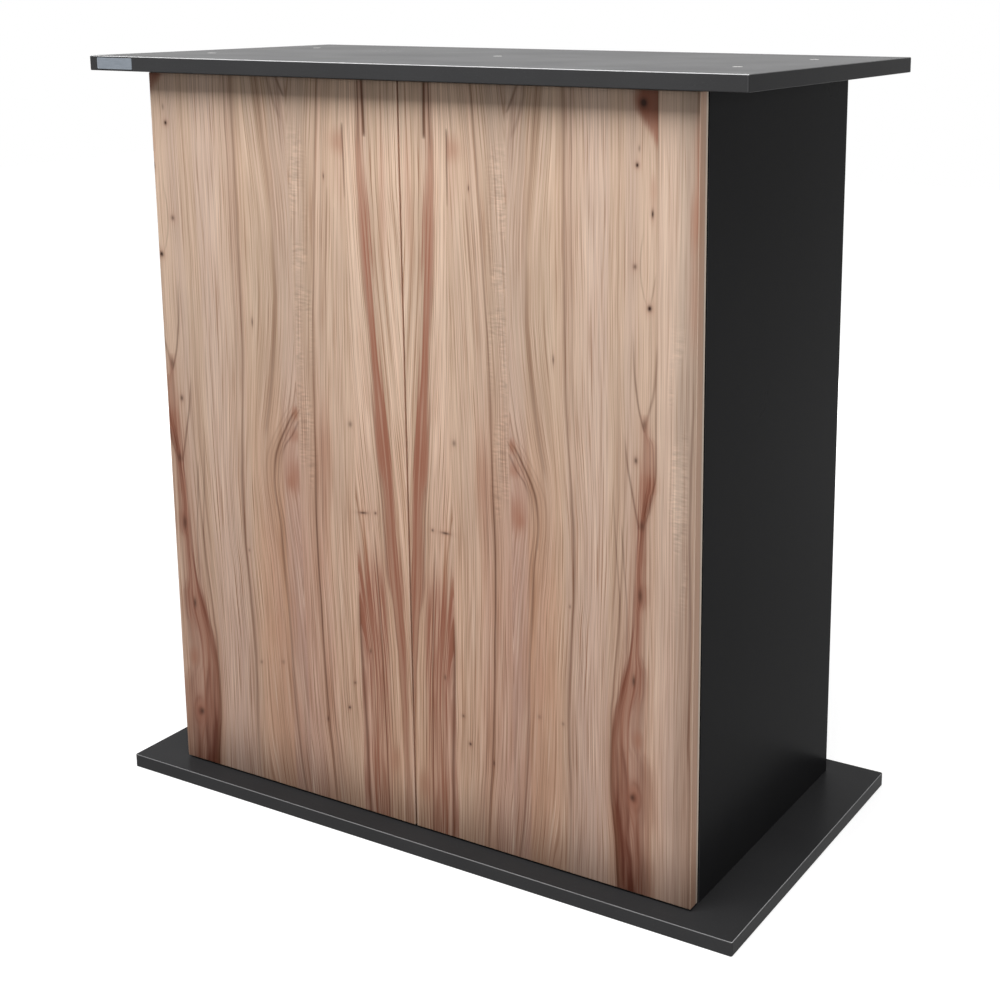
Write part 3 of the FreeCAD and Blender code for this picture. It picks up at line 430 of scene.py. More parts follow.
# Lightness of the staves, by distance
LIGHTNESS = [
    (0, 1.05), (25, 1.0), (48, 1.1), (60, 1.06), (100, 1.0), (112, 0.92), (130, 0.93), (152, 0.92),
    (176, 0.93), (183, 1.0), (200, 1.02), (240, 1.02), (262, 0.98), (298, 1.0), (316, 0.95), (324, 0.76),
    (340, 0.72),
]
# Strength of the grain across the staves
CONTRAST = [
    (0, 1), (57, 1), (58.5, 0.8), (129, 0.85), (131, 0.7), (195, 0.75), (200, 0.95), (240, 0.9),
    (245, 0.65), (296, 0.65), (298, 0.5), (340, 0.5),
]
# Strength of the broad streaks across the staves
BROADNESS = [
    (0, 1), (57, 1), (59, 0.5), (128, 0.5), (131, 1), (190, 0.9), (200, 0.4), (296, 0.45), (298, 0.8),
    (340, 0.8),
]
# Joints between the staves, half the width of a joint, and the step of the noise from stave to stave
STAVE_JOINTS = (58.0, 130.0, 297.2)
JOINT_HALF = 0.4
STAVE_STEP = 17.3
# Wander of the grain: waves per millimetre across and along it, seed, detail, reach in millimetres
WANDER = ((0.01, 0.0045, 3.1, 2, 5.0), (0.06, 0.018, 7.7, 1, 1.2))
# Band, broad, middle, fine and thin grain: waves per millimetre across and along it, seed, detail, roughness
GRAIN_LAYERS = (
    (0.045, 0.0012, 1.5, 1, 0.5),
    (0.085, 0.0016, 3.5, 1, 0.5),
    (0.19, 0.0022, 5.5, 2, 0.5),
    (0.62, 0.0075, 9.5, 2, 0.6),
    (1.05, 0.0095, 13.5, 1, 0.5),
)
RINGS_PER_MILLIMETRE = 0.21
# Half the softness of the side that a patch is cut off on
PATCH_SIDE = 0.5
# Zones with ripples across the grain: rise and fall by distance, rise and fall by height
RIPPLE_ZONES = (
    ((101, 113), (126, 131), (340, 400), (740, 790)),
    ((308, 318), (328, 336), (300, 380), (560, 640)),
)


class Grain:
    """What the steps of the decor share: places in millimetres, noise about zero, and growth rings."""

    def __init__(self, k, a, z):
        start = a
        for across, along, seed, detail, reach in WANDER:
            a = a + (k.noise(start * across, z * along, seed, detail) - 0.5) * reach
        self.a = a
        self.z = z
        self.guides = {name: k.curve(z, path) for name, path in GUIDES.items()}
        u = a
        for name, share in FOLLOW.items():
            u = u - k.curve(a, share) * (self.guides[name] - GUIDE_MIDDLE[name])
        stave = 0
        for joint in STAVE_JOINTS:
            stave = stave + k.smooth(a, joint - JOINT_HALF, joint + JOINT_HALF) * STAVE_STEP
        self.band, self.broad, self.middle, self.fine, self.thin = (
            k.noise(u * across, z * along, stave + seed, detail, rough) - 0.5
            for across, along, seed, detail, rough in GRAIN_LAYERS
        )
        self.fibre = k.noise(a * 2.4, z * 0.028, 1.3, 1) - 0.5
        self.ragged = self.fine * 13 + self.middle * 9
        # Each growth ring darkens slowly and ends in a thin line
        field = u * RINGS_PER_MILLIMETRE + (k.noise(u * 0.04, z * 0.0035, stave + 2.5, 1) - 0.5) * 3.2
        number = k.floor(field)
        part = field - number
        self.ring_strength = k.smooth(k.noise(number * 3.7, z * 0.008, stave + 6.5, 1), 0.33, 0.72)
        self.late = part * part * part * (1 - k.smooth(part, 0.93, 1.0))

    def spot(self, height, distance, half_height, half_width):
        """Place within a spot, down and across from its middle, 1 at its rim."""
        return (self.z - height) / half_height, (self.a - distance) / half_width


def ground_colour(k, g):
    """The staves with their growth rings and grain."""
    pink = k.clamp(k.curve(g.a, PINKNESS) + g.band * 1.2)
    broadness = k.curve(g.a, BROADNESS)
    bold = (1.3 - k.smooth(g.z, 180, 600) * 0.3) * k.curve(g.a, CONTRAST)
    colour = k.mix(pink, TAN, PINK)
    colour = k.mix(k.clamp(g.broad * broadness * 2 + g.middle * 1.2 + 0.32), colour, PALE)
    brown = k.curve(g.a, BROWNNESS) * (1 - k.smooth(g.z, 300, 660)) * 0.8
    brown = brown + (1 - k.smooth(g.z, 60, 620)) * 0.42
    colour = k.mix(k.clamp(brown + g.middle * 0.5), colour, k.mix(pink, BROWN, MAUVE))
    rings = (g.late * 0.2 + g.late * g.late * 0.75) * g.ring_strength
    pores = k.smooth(g.fine, 0.04, 0.2) * 0.2 + k.smooth(g.thin, 0.03, 0.18) * 0.48
    colour = k.mix(k.clamp((rings + pores) * bold), colour, GRAIN)
    colour = k.mix(k.clamp((g.thin + 0.03) * -3), colour, PALE)
    streaks = (g.broad * 0.45 + g.middle * 0.25) * broadness + g.fine * 0.12 - g.thin * 0.45
    blotch = k.noise(g.a * 0.022, g.z * 0.009, 6.1, 2) - 0.5
    light = k.curve(g.a, LIGHTNESS) + streaks * bold + g.fibre * 0.2 + blotch * 0.25
    # Painted light: the steps by height make the doors a little darker above about 500 mm and lighter from
    # about 150 to 350 mm
    light = light - k.smooth(g.z, 480, 680) * 0.03 + k.window(g.z, (110, 190), (290, 420)) * 0.04 + 0.055
    return k.shade(colour, light)


def add_ripples(k, g, colour):
    """Ripples across the grain."""
    ripple = k.noise(g.a * 0.1, g.z * 0.42, 4.4, 1) - 0.5
    zone = 0
    for a_rise, a_fall, z_rise, z_fall in RIPPLE_ZONES:
        zone = zone + k.window(g.a, a_rise, a_fall) * k.window(g.z, z_rise, z_fall)
    patchy = k.smooth(k.noise(g.a * 0.05, g.z * 0.02, 8.8, 1), 0.42, 0.6)
    return k.shade(colour, ripple * zone * patchy * 0.7 + 1)


def add_red_foot(k, g, colour):
    """Reddish grain in the foot of the first stave."""
    foot = k.window(g.a, (14, 24), (56.5, 58.5)) * (1 - k.smooth(g.z, 270, 345))
    redness = k.smooth(g.z, 130, 220) * 0.22 + g.late * 0.4 + g.middle * 0.8 + 0.16
    redness = redness + k.smooth(g.fine, -0.05, 0.1) * 0.35 + k.smooth(g.thin, -0.02, 0.12) * 0.3
    return k.mix(k.clamp(foot * redness), colour, RED)


def add_red_streak(k, g, colour):
    """The red streak beside the gap, with a dark right side."""
    past_left = g.a - k.curve(g.z, STREAK_LEFT) + g.ragged
    past_right = g.a - k.curve(g.z, STREAK_RIGHT) + g.ragged
    strength = k.curve(g.z, STREAK_STRENGTH)
    streak = k.smooth(past_left, -2, 2.5) * (1 - k.smooth(past_right, -5, 2)) * strength
    colour = k.mix(k.clamp(streak * (g.fine * 1.5 + g.middle * 1.2 + 1.05)), colour, RED)
    side = k.bell((past_right + 1) / 1.5)
    return k.mix(k.clamp(side * strength * 0.45), colour, DARK)


def add_heartwood(k, g, colour):
    """The heartwood streak towards the outer edge, in a reddish halo and with a dark left side."""
    left = k.curve(g.z, HEART_LEFT)
    right = k.curve(g.z, HEART_RIGHT)
    strength = k.curve(g.z, HEART_STRENGTH)
    halo = k.smooth(g.a - left, -16, 2) * (1 - k.smooth(g.a - right, -2, 9)) * strength
    colour = k.mix(k.clamp(halo * (g.fine * 1.5 + 0.28)), colour, RED)
    # Its veins close up where it narrows, and its wide foot fades to the right
    inward = (g.a - left) / (right - left)
    vein = k.noise(inward * 6, g.z * 0.008, 21.5, 2) - 0.5
    past_left = g.a - left + g.ragged * 0.6
    past_right = g.a - right + g.ragged * 0.6
    heart = k.smooth(past_left, -3, 3) * (1 - k.smooth(past_right, -6, 4)) * strength
    heart = heart * (1 - (1 - k.smooth(g.z, 190, 300)) * k.smooth(inward, 0.3, 1.0) * 0.6)
    heart_colour = k.mix(k.clamp(k.curve(g.z, HEART_DARK) + vein * 3), RED, DARK)
    colour = k.mix(k.clamp(heart * (vein * 1.7 + 0.85)), colour, heart_colour)
    side = k.bell((g.a - left - 1 + g.ragged * 0.3) / 1.7)
    return k.mix(side * k.curve(g.z, HEART_EDGE), colour, DARK)


def add_patches(k, g, colour):
    """Reddish patches, each cut off on its inner side."""
    for *place, start, strength in PATCHES:
        down, across = g.spot(*place)
        reach = k.sqrt(down * down + across * across) + g.fine * 0.9
        patch = (1 - k.smooth(reach, 0.1, 1.25)) * k.smooth(g.a, start - PATCH_SIDE, start + PATCH_SIDE)
        colour = k.mix(k.clamp(patch * strength), colour, RUST)
    return colour


def add_ringed_knots(k, g, colour):
    """Knots in a red field, with a dark ring that is open to one side."""
    for *place, strength in RINGED_KNOTS:
        down, across = g.spot(*place)
        reach = k.sqrt(down * down + across * across) + g.fine * 0.5 + g.middle * 0.6
        colour = k.mix((1 - k.smooth(reach, 0.2, 1.6)) * strength * 0.7, colour, RED)
        ring = k.bell((reach - 0.9) * 5) * k.smooth(across + down * 0.4, -0.7, 0.7)
        colour = k.mix(ring * strength * 0.3, colour, DARK)
        colour = k.mix((1 - k.smooth(reach, 0.1, 0.5)) * strength * 0.6, colour, DARK)
    return colour


def add_dark_corner(k, g, colour):
    """The dark upper corner of the third stave."""
    slant = (g.a - 275) / 17 - (812 - g.z) / 26 + g.fine * 0.8
    corner = k.smooth(slant, -0.3, 0.35) * k.window(g.a, (266, 282), (295.8, 296.6))
    colour = k.mix(corner * 0.75, colour, RED)
    return k.mix(corner * k.smooth(g.z, 790, 815) * 0.7, colour, DARK)


def add_lines(k, g, colour):
    """Dark growth lines with soft sides, and the dark lines with paths of their own."""
    dark = 0
    soft = 0
    for name, offset, half_width, strengths in GROWTH_LINES:
        away = (g.a - g.guides[name] - offset) / half_width
        strength = k.curve(g.z, strengths)
        dark = dark + k.bell(away) * strength
        soft = soft + k.bell(away, 0.1) * strength
    colour = k.mix(k.clamp(soft * 0.35), colour, GRAIN)
    for path, half_width, strengths in FREE_LINES:
        away = (g.a - k.curve(g.z, path)) / half_width
        dark = dark + k.bell(away) * k.curve(g.z, strengths)
    return k.mix(k.clamp(dark * (g.fibre * 0.9 + 0.9)) * 0.88, colour, LINE)


def add_knots(k, g, colour):
    """Pin knots, each in a reddish halo."""
    core = 0
    halo = 0
    for *place, strength in KNOTS:
        down, across = g.spot(*place)
        near = k.exp((down * down + across * across) * -0.3)
        halo = halo + near * strength
        near = near * near
        core = core + near * near * near * strength
    colour = k.mix(k.clamp(halo * 0.4), colour, RED)
    return k.mix(k.clamp(core * 1.25), colour, KNOT)


DECOR_STEPS = (
    add_ripples,
    add_red_foot,
    add_red_streak,
    add_heartwood,
    add_patches,
    add_ringed_knots,
    add_dark_corner,
    add_lines,
    add_knots,
)


def decor(k, a, z):
    """Colour of the decor at a distance from the middle of the stand and a height, in millimetres."""
    g = Grain(k, a, z)
    colour = ground_colour(k, g)
    for step in DECOR_STEPS:
        colour = step(k, g, colour)
    return colour


# Places on the doors in millimetres, from the frame
door_low, door_high = node_box("right_door")
DOOR_FRONT = door_low[1] * MILLIMETRES
DOOR_WIDTH = door_high[0] * MILLIMETRES
DOOR_FOOT = door_low[2] * MILLIMETRES
DOOR_TOP = door_high[2] * MILLIMETRES
# The left door's decor is the right door's mirrored, and drawn in another perspective: where its corners lie
DOOR_CORNERS = ((0, DOOR_FOOT), (0, DOOR_TOP), (DOOR_WIDTH, DOOR_FOOT), (DOOR_WIDTH, DOOR_TOP))
LEFT_CORNERS = ((-13.0, -12.1), (-11.8, 837.8), (294.5, 70.6), (291.5, 810.2))
# Edge band of the doors: its colours, and where one ends and the other starts, behind the front
EDGE_BROWN = linear(216, 172, 145)
EDGE_PALE = linear(232, 214, 196)
BROWN_END = (10.5, 12.0)
PALE_START = (11.5, 13.0)
# Painted shade at the foot of the doors, darkening their colour towards the bottom: the share of the colour
# left at the foot, and the heights it fades between
FOOT_SHADE = 0.56
FOOT_FADE = (12.0, 98.0)
# Depth of the doors' pores in metres
PORE_BUMP = 0.00006
# Steps by the part of a normal along an axis: to the side of a board, and to a flat face from a rounded edge
SIDE_STEP = (0.35, 0.65)
FLAT_STEP = (0.9, 0.985)


def perspective_map(places, targets):
    """Eight numbers of the perspective that takes four places to four others."""
    rows = []
    results = []
    for (a, z), (to_a, to_z) in zip(places, targets):
        rows.append((a, z, 1, 0, 0, 0, -a * to_a, -z * to_a))
        rows.append((0, 0, 0, a, z, 1, -a * to_z, -z * to_z))
        results.extend((to_a, to_z))
    return [float(number) for number in numpy.linalg.solve(rows, results)]


def rounded_edges(k, normal):
    """1 on the rounded edges of a board and 0 on its flat faces."""
    nx, ny, nz = (k.abs(part) for part in normal)
    return 1 - k.smooth(k.max(nx, k.max(ny, nz)), *FLAT_STEP)


def wood_material():
    """Door decor, wrapped round the edges of the board and mirrored on its back."""
    k = Graph("wood_decor")
    x, y, z = (place * MILLIMETRES for place in k.split("Object"))
    normal = k.split("Normal")
    edge = k.smooth(k.abs(normal[0]), *SIDE_STEP)
    inner = k.smooth(normal[1], *SIDE_STEP)
    behind = y - DOOR_FRONT
    a = k.abs(x)
    a = a + behind * edge + (DOOR_WIDTH - a * 2) * inner
    pores = k.noise(a * 2.4, z * 0.04, 1.3, 1)
    left = k.math("LESS_THAN", x, 0.0)
    m = perspective_map(DOOR_CORNERS, LEFT_CORNERS)
    share = a * m[6] + z * m[7] + 1
    left_a = (a * m[0] + z * m[1] + m[2]) / share
    left_z = (a * m[3] + z * m[4] + m[5]) / share
    colour = decor(k, a + (left_a - a) * left, z + (left_z - z) * left)
    colour = k.mix(edge * 0.55 * (1 - k.smooth(behind, *BROWN_END)), colour, EDGE_BROWN)
    colour = k.mix(edge * k.smooth(behind, *PALE_START), colour, EDGE_PALE)
    # Painted highlight: the rounded edges of the doors lightened towards the pale edge colour
    colour = k.mix(rounded_edges(k, normal) * 0.4, colour, EDGE_PALE)
    # Painted shade: the doors' colour darkened towards their foot
    colour = k.shade(colour, k.smooth(z, *FOOT_FADE) * (1 - FOOT_SHADE) + FOOT_SHADE)
    return k.surface(Base_Color=colour, Roughness=0.45, IOR=1.2, Normal=k.bump(pores, PORE_BUMP))


# Plates of the stand, from the frame, and the width of their edge bands
top_low, top_high = node_box("top_panel")
PLATE_HALF_X = top_high[0]
PLATE_HALF_Y = top_high[1]
EDGE_BAND = 0.0011
SEAM_SHARPNESS = 5000
# Hose and cable cut-outs in the back: place, half size, and the softness of their border
HOSE_HOLE_X = 0.166
HOSE_HOLE_Z = 0.759
HOSE_HOLE_HALF = (0.061, 0.036)
HOSE_HOLE_BORDER = 0.001
# Colours of seams, of wear with a painted sheen on the edges, of painted edge highlights and of the raw
# chipboard core
SEAM = anthracite(22)
WORN_AND_SHEEN = anthracite(98)
PAINTED_EDGE_HIGHLIGHT = anthracite(205)
CHIP_DARK = linear(122, 92, 62)
CHIP_LIGHT = linear(196, 164, 120)
# Steps by the part of a normal along an axis: to a face from an edge, and along a rounded edge
FACE_STEP = (0.5, 0.8)
EDGE_STEP = (0.15, 0.4)
# Scales of noise in waves per metre, along x, y and z where there are three
WEAR_SCALE = 130
BOARD_CLOUD = 9
BOARD_PEBBLE = 1500
BOARD_SPECK = 420
CHIP_SCALE = (700, 350, 700)
METAL_CLOUD = 60
DRAWING_MARKS = (300, 2600, 300)
PLASTIC_GRAIN = 2200
PLASTIC_CLOUD = 40
DOWEL_GRAIN = (900, 900, 40)
PLATE_BRUSH = (60, 60, 5200)
PLATE_CLOUD = (120, 120, 240)
# Depths of bump in metres
BOARD_BUMP = 0.00002
METAL_BUMP = 0.00002
PLASTIC_BUMP = 0.00003
DOWEL_BUMP = 0.00005


def edge_wear_and_highlights(k, places, normal):
    """Shares of pale wear with a painted sheen on rounded edges, and of painted highlights on the upper
    front ones and on those of the right end.
    """
    rounded = rounded_edges(k, normal)
    uneven = k.cloud(places, WEAR_SCALE, 3)
    upper = rounded * k.smooth(normal[2], *EDGE_STEP) * (uneven * 0.4 + 0.75)
    front = upper * k.smooth(normal[1] * -1, *EDGE_STEP)
    right = upper * k.smooth(normal[0], *EDGE_STEP)
    return rounded * (uneven * 0.5 + 0.25), front, right


def seam_share(k, places, normal):
    """Share of the dark seam between a plate's face and its edge bands."""
    x, y, _ = places
    border = k.min(PLATE_HALF_X - k.abs(x), PLATE_HALF_Y - k.abs(y))
    return k.bell((border - EDGE_BAND) * SEAM_SHARPNESS) * k.smooth(k.abs(normal[2]), 0.95, 0.99) * 0.5


def raw_core(k, places, normal):
    """Share and colour of the raw chipboard inside the cut-outs."""
    x, _, z = places
    near = 1
    for away, half in zip((k.abs(x) - HOSE_HOLE_X, z - HOSE_HOLE_Z), HOSE_HOLE_HALF):
        near = (1 - k.smooth(k.abs(away), half, half + HOSE_HOLE_BORDER)) * near
    chips = k.cloud(places, CHIP_SCALE, 3, 0.65)
    core = k.mix(k.smooth(chips, 0.35, 0.65), CHIP_DARK, CHIP_LIGHT)
    return near * (1 - k.smooth(k.abs(normal[1]), 0.3, 0.6)), core


def board_material(name, tone=34, edge_tone=35, gloss=1.055, edge_highlight=None, seams=False, raw_holes=False,
                   lifted_inner_tone=None, shaded_end_tone=None):
    """Anthracite melamine board with a pebbled face; some have seams, raw holes, painted highlights on their
    edges, painted light on their inner faces or painted shade on their ends.
    """
    k = Graph(name)
    places = k.split("Object")
    normal = k.split("Normal")
    cloud = k.cloud(places, BOARD_CLOUD, 3)
    pebble = k.cloud(places, BOARD_PEBBLE, 2, 0.6)
    speck = k.smooth(k.cloud(places, BOARD_SPECK, 1), 0.62, 0.75)
    face = k.smooth(k.abs(normal[2]), *FACE_STEP)
    colour = k.mix(face, anthracite(edge_tone), anthracite(tone))
    # Painted shade: the ends of the board, facing along x, in a darker tone than its front and back edges
    if shaded_end_tone:
        colour = k.mix(k.smooth(k.abs(normal[0]), *FACE_STEP), colour, anthracite(shaded_end_tone))
    # Painted light: the faces turned to the inside of the stand in a lighter tone than the outer ones
    if lifted_inner_tone:
        inward = normal[0] * places[0] * -3
        colour = k.mix(k.smooth(inward, 0.3, 0.8), colour, anthracite(lifted_inner_tone))
    colour = k.shade(colour, cloud * 0.3 + 0.85)
    colour = k.shade(colour, pebble * 0.2 + speck * 0.12 + 0.88)
    if seams:
        colour = k.mix(seam_share(k, places, normal), colour, SEAM)
    if raw_holes:
        inside, core = raw_core(k, places, normal)
        colour = k.mix(inside, colour, core)
    wear_and_sheen, front, right = edge_wear_and_highlights(k, places, normal)
    # Pale wear on all rounded edges, partly a painted sheen
    colour = k.mix(k.clamp(wear_and_sheen * 0.5), colour, WORN_AND_SHEEN)
    # Painted highlights on the upper front edges and on those of the right end
    if edge_highlight:
        colour = k.mix(k.clamp(front * edge_highlight[0] + right * edge_highlight[1]), colour, PAINTED_EDGE_HIGHLIGHT)
    rough = cloud * 0.12 + wear_and_sheen * 0.2 + 0.24
    return k.surface(Base_Color=colour, Roughness=rough, IOR=gloss, Normal=k.bump(pebble, BOARD_BUMP))


def metal_material(name, tone, rough):
    """Plated metal with faint drawing marks and tarnish."""
    k = Graph(name)
    places = k.split("Object")
    cloud = k.cloud(places, METAL_CLOUD, 3)
    marks = k.cloud(places, DRAWING_MARKS)
    colour = k.shade(tone, cloud * 0.4 + 0.8)
    uneven = (cloud - 0.5) * 0.25 + (marks - 0.5) * 0.1 + rough
    return k.surface(Base_Color=colour, Metallic=1.0, Roughness=uneven, Normal=k.bump(marks, METAL_BUMP))


def plastic_material(name, tone, rough):
    """Moulded plastic with a fine spark-eroded grain."""
    k = Graph(name)
    places = k.split("Object")
    grain = k.cloud(places, PLASTIC_GRAIN)
    colour = k.shade(tone, k.cloud(places, PLASTIC_CLOUD) * 0.2 + 0.9)
    uneven = (grain - 0.5) * 0.2 + rough
    return k.surface(Base_Color=colour, Roughness=uneven, Normal=k.bump(grain, PLASTIC_BUMP))


def dowel_material():
    """Beech with a fine upright grain."""
    k = Graph("dowel_wood")
    grain = k.cloud(k.split("Object"), DOWEL_GRAIN)
    colour = k.mix(grain, linear(206, 172, 126), linear(178, 138, 92))
    return k.surface(Base_Color=colour, Roughness=0.65, Normal=k.bump(grain, DOWEL_BUMP))


MATERIALS = {
    "wood_decor": wood_material(),
    "dark_board": board_material("dark_board", tone=46, edge_tone=46, gloss=1.18),
    "dowel_wood": dowel_material(),
    "nickel_steel": metal_material("nickel_steel", linear(226, 225, 222), rough=0.36),
    "zinc": metal_material("zinc", linear(176, 178, 180), rough=0.42),
    "latch_plastic": plastic_material("latch_plastic", linear(176, 176, 172), rough=0.5),
    "plunger_plastic": plastic_material("plunger_plastic", linear(228, 226, 220), rough=0.42),
}
SIDE_BOARD = board_material("side_board", lifted_inner_tone=52)
BOARD_MATERIALS = {
    "left_side_panel": SIDE_BOARD,
    "right_side_panel": SIDE_BOARD,
    "top_panel": board_material("top_board", tone=54, edge_tone=62, gloss=1.085, edge_highlight=(1.0, 0.15),
                                seams=True, shaded_end_tone=51),
    "base_panel": board_material("base_board", tone=51, edge_tone=73, gloss=1.085, edge_highlight=(0.38, 0.5),
                                 seams=True, shaded_end_tone=64),
    "back_panel": board_material("back_board", tone=46, edge_tone=46, gloss=1.18, raw_holes=True),
}
for part in frame["record"]["subparts"]:
    name = part["node"]
    node = frame["nodes"][name]
    node.data.materials.clear()
    node.data.materials.append(BOARD_MATERIALS.get(name) or MATERIALS[part["material_slot"]])

# Seat of the bare metal plate in the top plate's front edge, and how the plate lies in it
SEAT_FROM_END = 0.011
SEAT_LENGTH = 0.053
SEAT_HEIGHT = 0.013
SEAT_DEPTH = 0.0008
PLATE_CLEARANCE = 0.0003
PLATE_RADIUS = 0.0012
CORNER_STEPS = 6
# Inset from the outline and height above the seat of each loop, from the back to the middle of the face
PLATE_LOOPS = (
    (0.0, 0.0),
    (0.0, 0.0005),
    (0.00008, 0.00064),
    (0.00025, 0.0007),
    (0.0009, 0.0007),
    (0.0012, 0.00052),
)


def rounded_outline(half_x, half_z, radius):
    """Points of a rectangle with round corners, anticlockwise seen from the front."""
    points = []
    for turn, (side_x, side_z) in enumerate(((1, 1), (-1, 1), (-1, -1), (1, -1))):
        for step in range(CORNER_STEPS + 1):
            angle = math.radians(90 * (turn + step / CORNER_STEPS))
            px = side_x * (half_x - radius) + radius * math.cos(angle)
            pz = side_z * (half_z - radius) + radius * math.sin(angle)
            points.append((px, pz))
    return points


def plate_material():
    """Satin metal with fine brushing along the plate."""
    k = Graph("bare_plate")
    places = k.split("Object")
    brush = k.cloud(places, PLATE_BRUSH, 3, 0.6)
    cloud = k.cloud(places, PLATE_CLOUD)
    colour = k.mix(brush, linear(112, 119, 128), linear(160, 167, 175))
    colour = k.shade(colour, cloud * 0.2 + 0.9)
    rough = brush * 0.16 + 0.24
    return k.surface(Base_Color=colour, Metallic=1.0, Roughness=rough, Normal=k.bump(brush, METAL_BUMP))


def bare_plate():
    """A thin plate with round corners, a rim and a slightly sunk field."""
    middle_x = top_low[0] + SEAT_FROM_END + SEAT_LENGTH / 2
    middle_z = (top_low[2] + top_high[2]) / 2
    seat_y = top_low[1] + SEAT_DEPTH
    half_x = SEAT_LENGTH / 2 - PLATE_CLEARANCE
    half_z = SEAT_HEIGHT / 2 - PLATE_CLEARANCE
    mesh = bmesh.new()
    rows = []
    for inset, rise in PLATE_LOOPS:
        outline = rounded_outline(half_x - inset, half_z - inset, PLATE_RADIUS - inset * 0.5)
        rows.append([mesh.verts.new((middle_x + px, seat_y - rise, middle_z + pz)) for px, pz in outline])
    for lower, upper in zip(rows, rows[1:]):
        for i in range(len(lower)):
            j = (i + 1) % len(lower)
            mesh.faces.new((lower[i], lower[j], upper[j], upper[i]))
    mesh.faces.new(rows[-1])
    mesh.faces.new(reversed(rows[0]))
    bmesh.ops.recalc_face_normals(mesh, faces=mesh.faces)
    data = bpy.data.meshes.new("bare_plate")
    mesh.to_mesh(data)
    mesh.free()
    plate = bpy.data.objects.new("bare_plate", data)
    plate.data.materials.append(plate_material())
    bpy.context.scene.collection.objects.link(plate)
    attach(plate, "carcass")


bare_plate()

# Floor: half its size, what it reflects to the eye and as bounced light, and its glow from near to far
FLOOR_HALF = 6.0
FLOOR_SEEN = 0.45
FLOOR_BOUNCE = 0.2
FLOOR_GLOW = (0.74, 1.0)
FLOOR_FADE = (0.75, 1.9)
# Strength of the world as a light
AMBIENT = 0.15


def seen_directly(tree):
    """1 for rays from the camera and for mirror and glass rays."""
    path = tree.nodes.new("ShaderNodeLightPath")
    seen = path.outputs["Is Camera Ray"]
    for kind in ("Is Glossy Ray", "Is Transmission Ray"):
        either = tree.nodes.new("ShaderNodeMath")
        either.operation = "MAXIMUM"
        tree.links.new(seen, either.inputs[0])
        tree.links.new(path.outputs[kind], either.inputs[1])
        seen = either.outputs[0]
    return seen


def floor_material():
    """White studio floor: plain diffuse for bounced light, with a glow where it is looked at."""
    material = bpy.data.materials.new("floor")
    material.use_nodes = True
    tree = material.node_tree
    tree.nodes.clear()
    seen = tree.nodes.new("ShaderNodeBsdfDiffuse")
    seen.inputs["Color"].default_value = (FLOOR_SEEN, FLOOR_SEEN, FLOOR_SEEN, 1)
    places = tree.nodes.new("ShaderNodeTexCoord")
    distance = tree.nodes.new("ShaderNodeVectorMath")
    distance.operation = "LENGTH"
    tree.links.new(places.outputs["Object"], distance.inputs[0])
    fade = tree.nodes.new("ShaderNodeMapRange")
    fade.interpolation_type = "SMOOTHSTEP"
    for name, value in zip(("From Min", "From Max", "To Min", "To Max"), (*FLOOR_FADE, *FLOOR_GLOW)):
        fade.inputs[name].default_value = value
    tree.links.new(distance.outputs["Value"], fade.inputs["Value"])
    glow = tree.nodes.new("ShaderNodeEmission")
    tree.links.new(fade.outputs[0], glow.inputs["Strength"])
    both = tree.nodes.new("ShaderNodeAddShader")
    tree.links.new(seen.outputs[0], both.inputs[0])
    tree.links.new(glow.outputs[0], both.inputs[1])
    bounce = tree.nodes.new("ShaderNodeBsdfDiffuse")
    bounce.inputs["Color"].default_value = (FLOOR_BOUNCE, FLOOR_BOUNCE, FLOOR_BOUNCE, 1)
    choice = tree.nodes.new("ShaderNodeMixShader")
    tree.links.new(seen_directly(tree), choice.inputs[0])
    tree.links.new(bounce.outputs[0], choice.inputs[1])
    tree.links.new(both.outputs[0], choice.inputs[2])
    output = tree.nodes.new("ShaderNodeOutputMaterial")
    tree.links.new(choice.outputs[0], output.inputs["Surface"])
    return material


def studio_floor():
    """Floor that shows white to the camera and keeps the shadow."""
    mesh = bpy.data.meshes.new("floor")
    corners = [(x * FLOOR_HALF, y * FLOOR_HALF, 0) for x, y in ((-1, -1), (1, -1), (1, 1), (-1, 1))]
    mesh.from_pydata(corners, [], [(0, 1, 2, 3)])
    mesh.materials.append(floor_material())
    floor = bpy.data.objects.new("floor", mesh)
    bpy.context.scene.collection.objects.link(floor)


def studio_world():
    """White where it is looked at, softer as a light."""
    world = bpy.data.worlds.new("studio")
    bpy.context.scene.world = world
    world.use_nodes = True
    tree = world.node_tree
    tree.nodes.clear()
    background = tree.nodes.new("ShaderNodeBackground")
    background.inputs["Color"].default_value = (1, 1, 1, 1)
    strength = tree.nodes.new("ShaderNodeMapRange")
    strength.inputs["To Min"].default_value = AMBIENT
    tree.links.new(seen_directly(tree), strength.inputs["Value"])
    tree.links.new(strength.outputs[0], background.inputs["Strength"])
    output = tree.nodes.new("ShaderNodeOutputWorld")
    tree.links.new(background.outputs[0], output.inputs["Surface"])


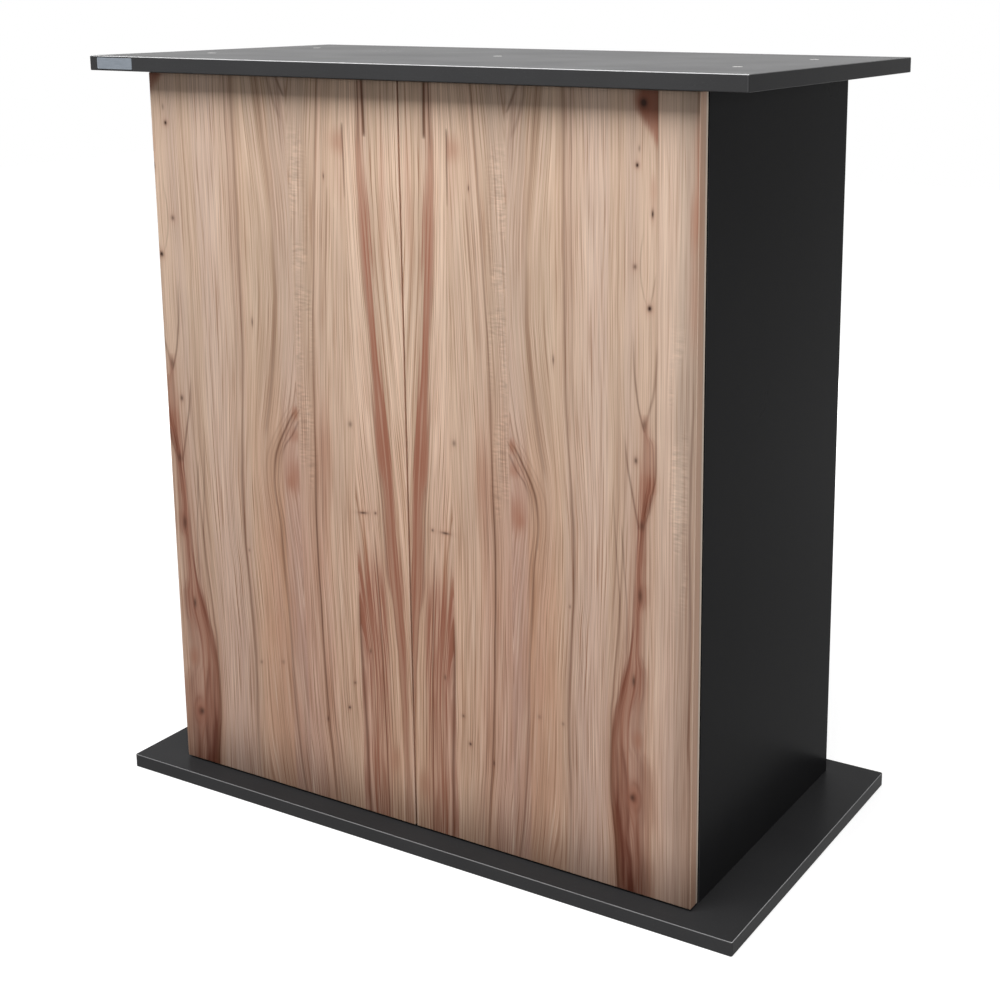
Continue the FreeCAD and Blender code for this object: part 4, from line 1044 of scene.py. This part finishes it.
def area_light(name, place, target, size, watts):
    """A soft box that looks at a point."""
    lamp = bpy.data.lights.new(name, "AREA")
    lamp.shape = "RECTANGLE"
    lamp.size, lamp.size_y = size
    lamp.energy = watts
    holder = bpy.data.objects.new(name, lamp)
    holder.location = place
    direction = Vector(target) - Vector(place)
    holder.rotation_euler = direction.to_track_quat("-Z", "Y").to_euler()
    bpy.context.scene.collection.objects.link(holder)
    return holder


studio_floor()
studio_world()
area_light("key", place=(0, -1.05, 2.0), target=(0, -0.15, 0.5), size=(1.8, 0.95), watts=36.2)
area_light("front", place=(0, -1.6, 1.0), target=(0, -0.15, 0.6), size=(1.8, 0.35), watts=1.45)
area_light("side", place=(2.0, -0.8, 0.9), target=(0.2, -0.1, 0.42), size=(1.2, 0.9), watts=10)
area_light("overhead", place=(0, 0.1, 2.7), target=(0, 0.1, 0), size=(2.6, 2.4), watts=22)
fill = area_light("fill", place=(-0.9, 1.9, 0.46), target=(0, 0.2, 0.42), size=(1.7, 0.7), watts=34)
# No reflection of this lamp through the cut-outs in the back
fill.visible_glossy = False

# Camera at the photograph's angle
CAMERA_PLACE = (1.008704, -1.506143, 0.923281)
CAMERA_AZIMUTH = math.radians(30.198)
CAMERA_ELEVATION = math.radians(12.485)
CAMERA_LENS = 58.979
CAMERA_SENSOR = 36.0
CAMERA_SHIFT = (-0.10, -0.15)
camera_data = bpy.data.cameras.new("camera")
camera_data.lens = CAMERA_LENS
camera_data.sensor_width = CAMERA_SENSOR
camera_data.shift_x, camera_data.shift_y = CAMERA_SHIFT
camera = bpy.data.objects.new("camera", camera_data)
level = math.cos(CAMERA_ELEVATION)
right = Vector((math.cos(CAMERA_AZIMUTH), math.sin(CAMERA_AZIMUTH), 0))
back = Vector((right.y * level, -right.x * level, math.sin(CAMERA_ELEVATION)))
up = back.cross(right)
camera.matrix_world = Matrix.Translation(CAMERA_PLACE) @ Matrix((right, up, back)).transposed().to_4x4()
bpy.context.scene.collection.objects.link(camera)
bpy.context.scene.camera = camera
bpy.context.scene.view_settings.view_transform = "Standard"
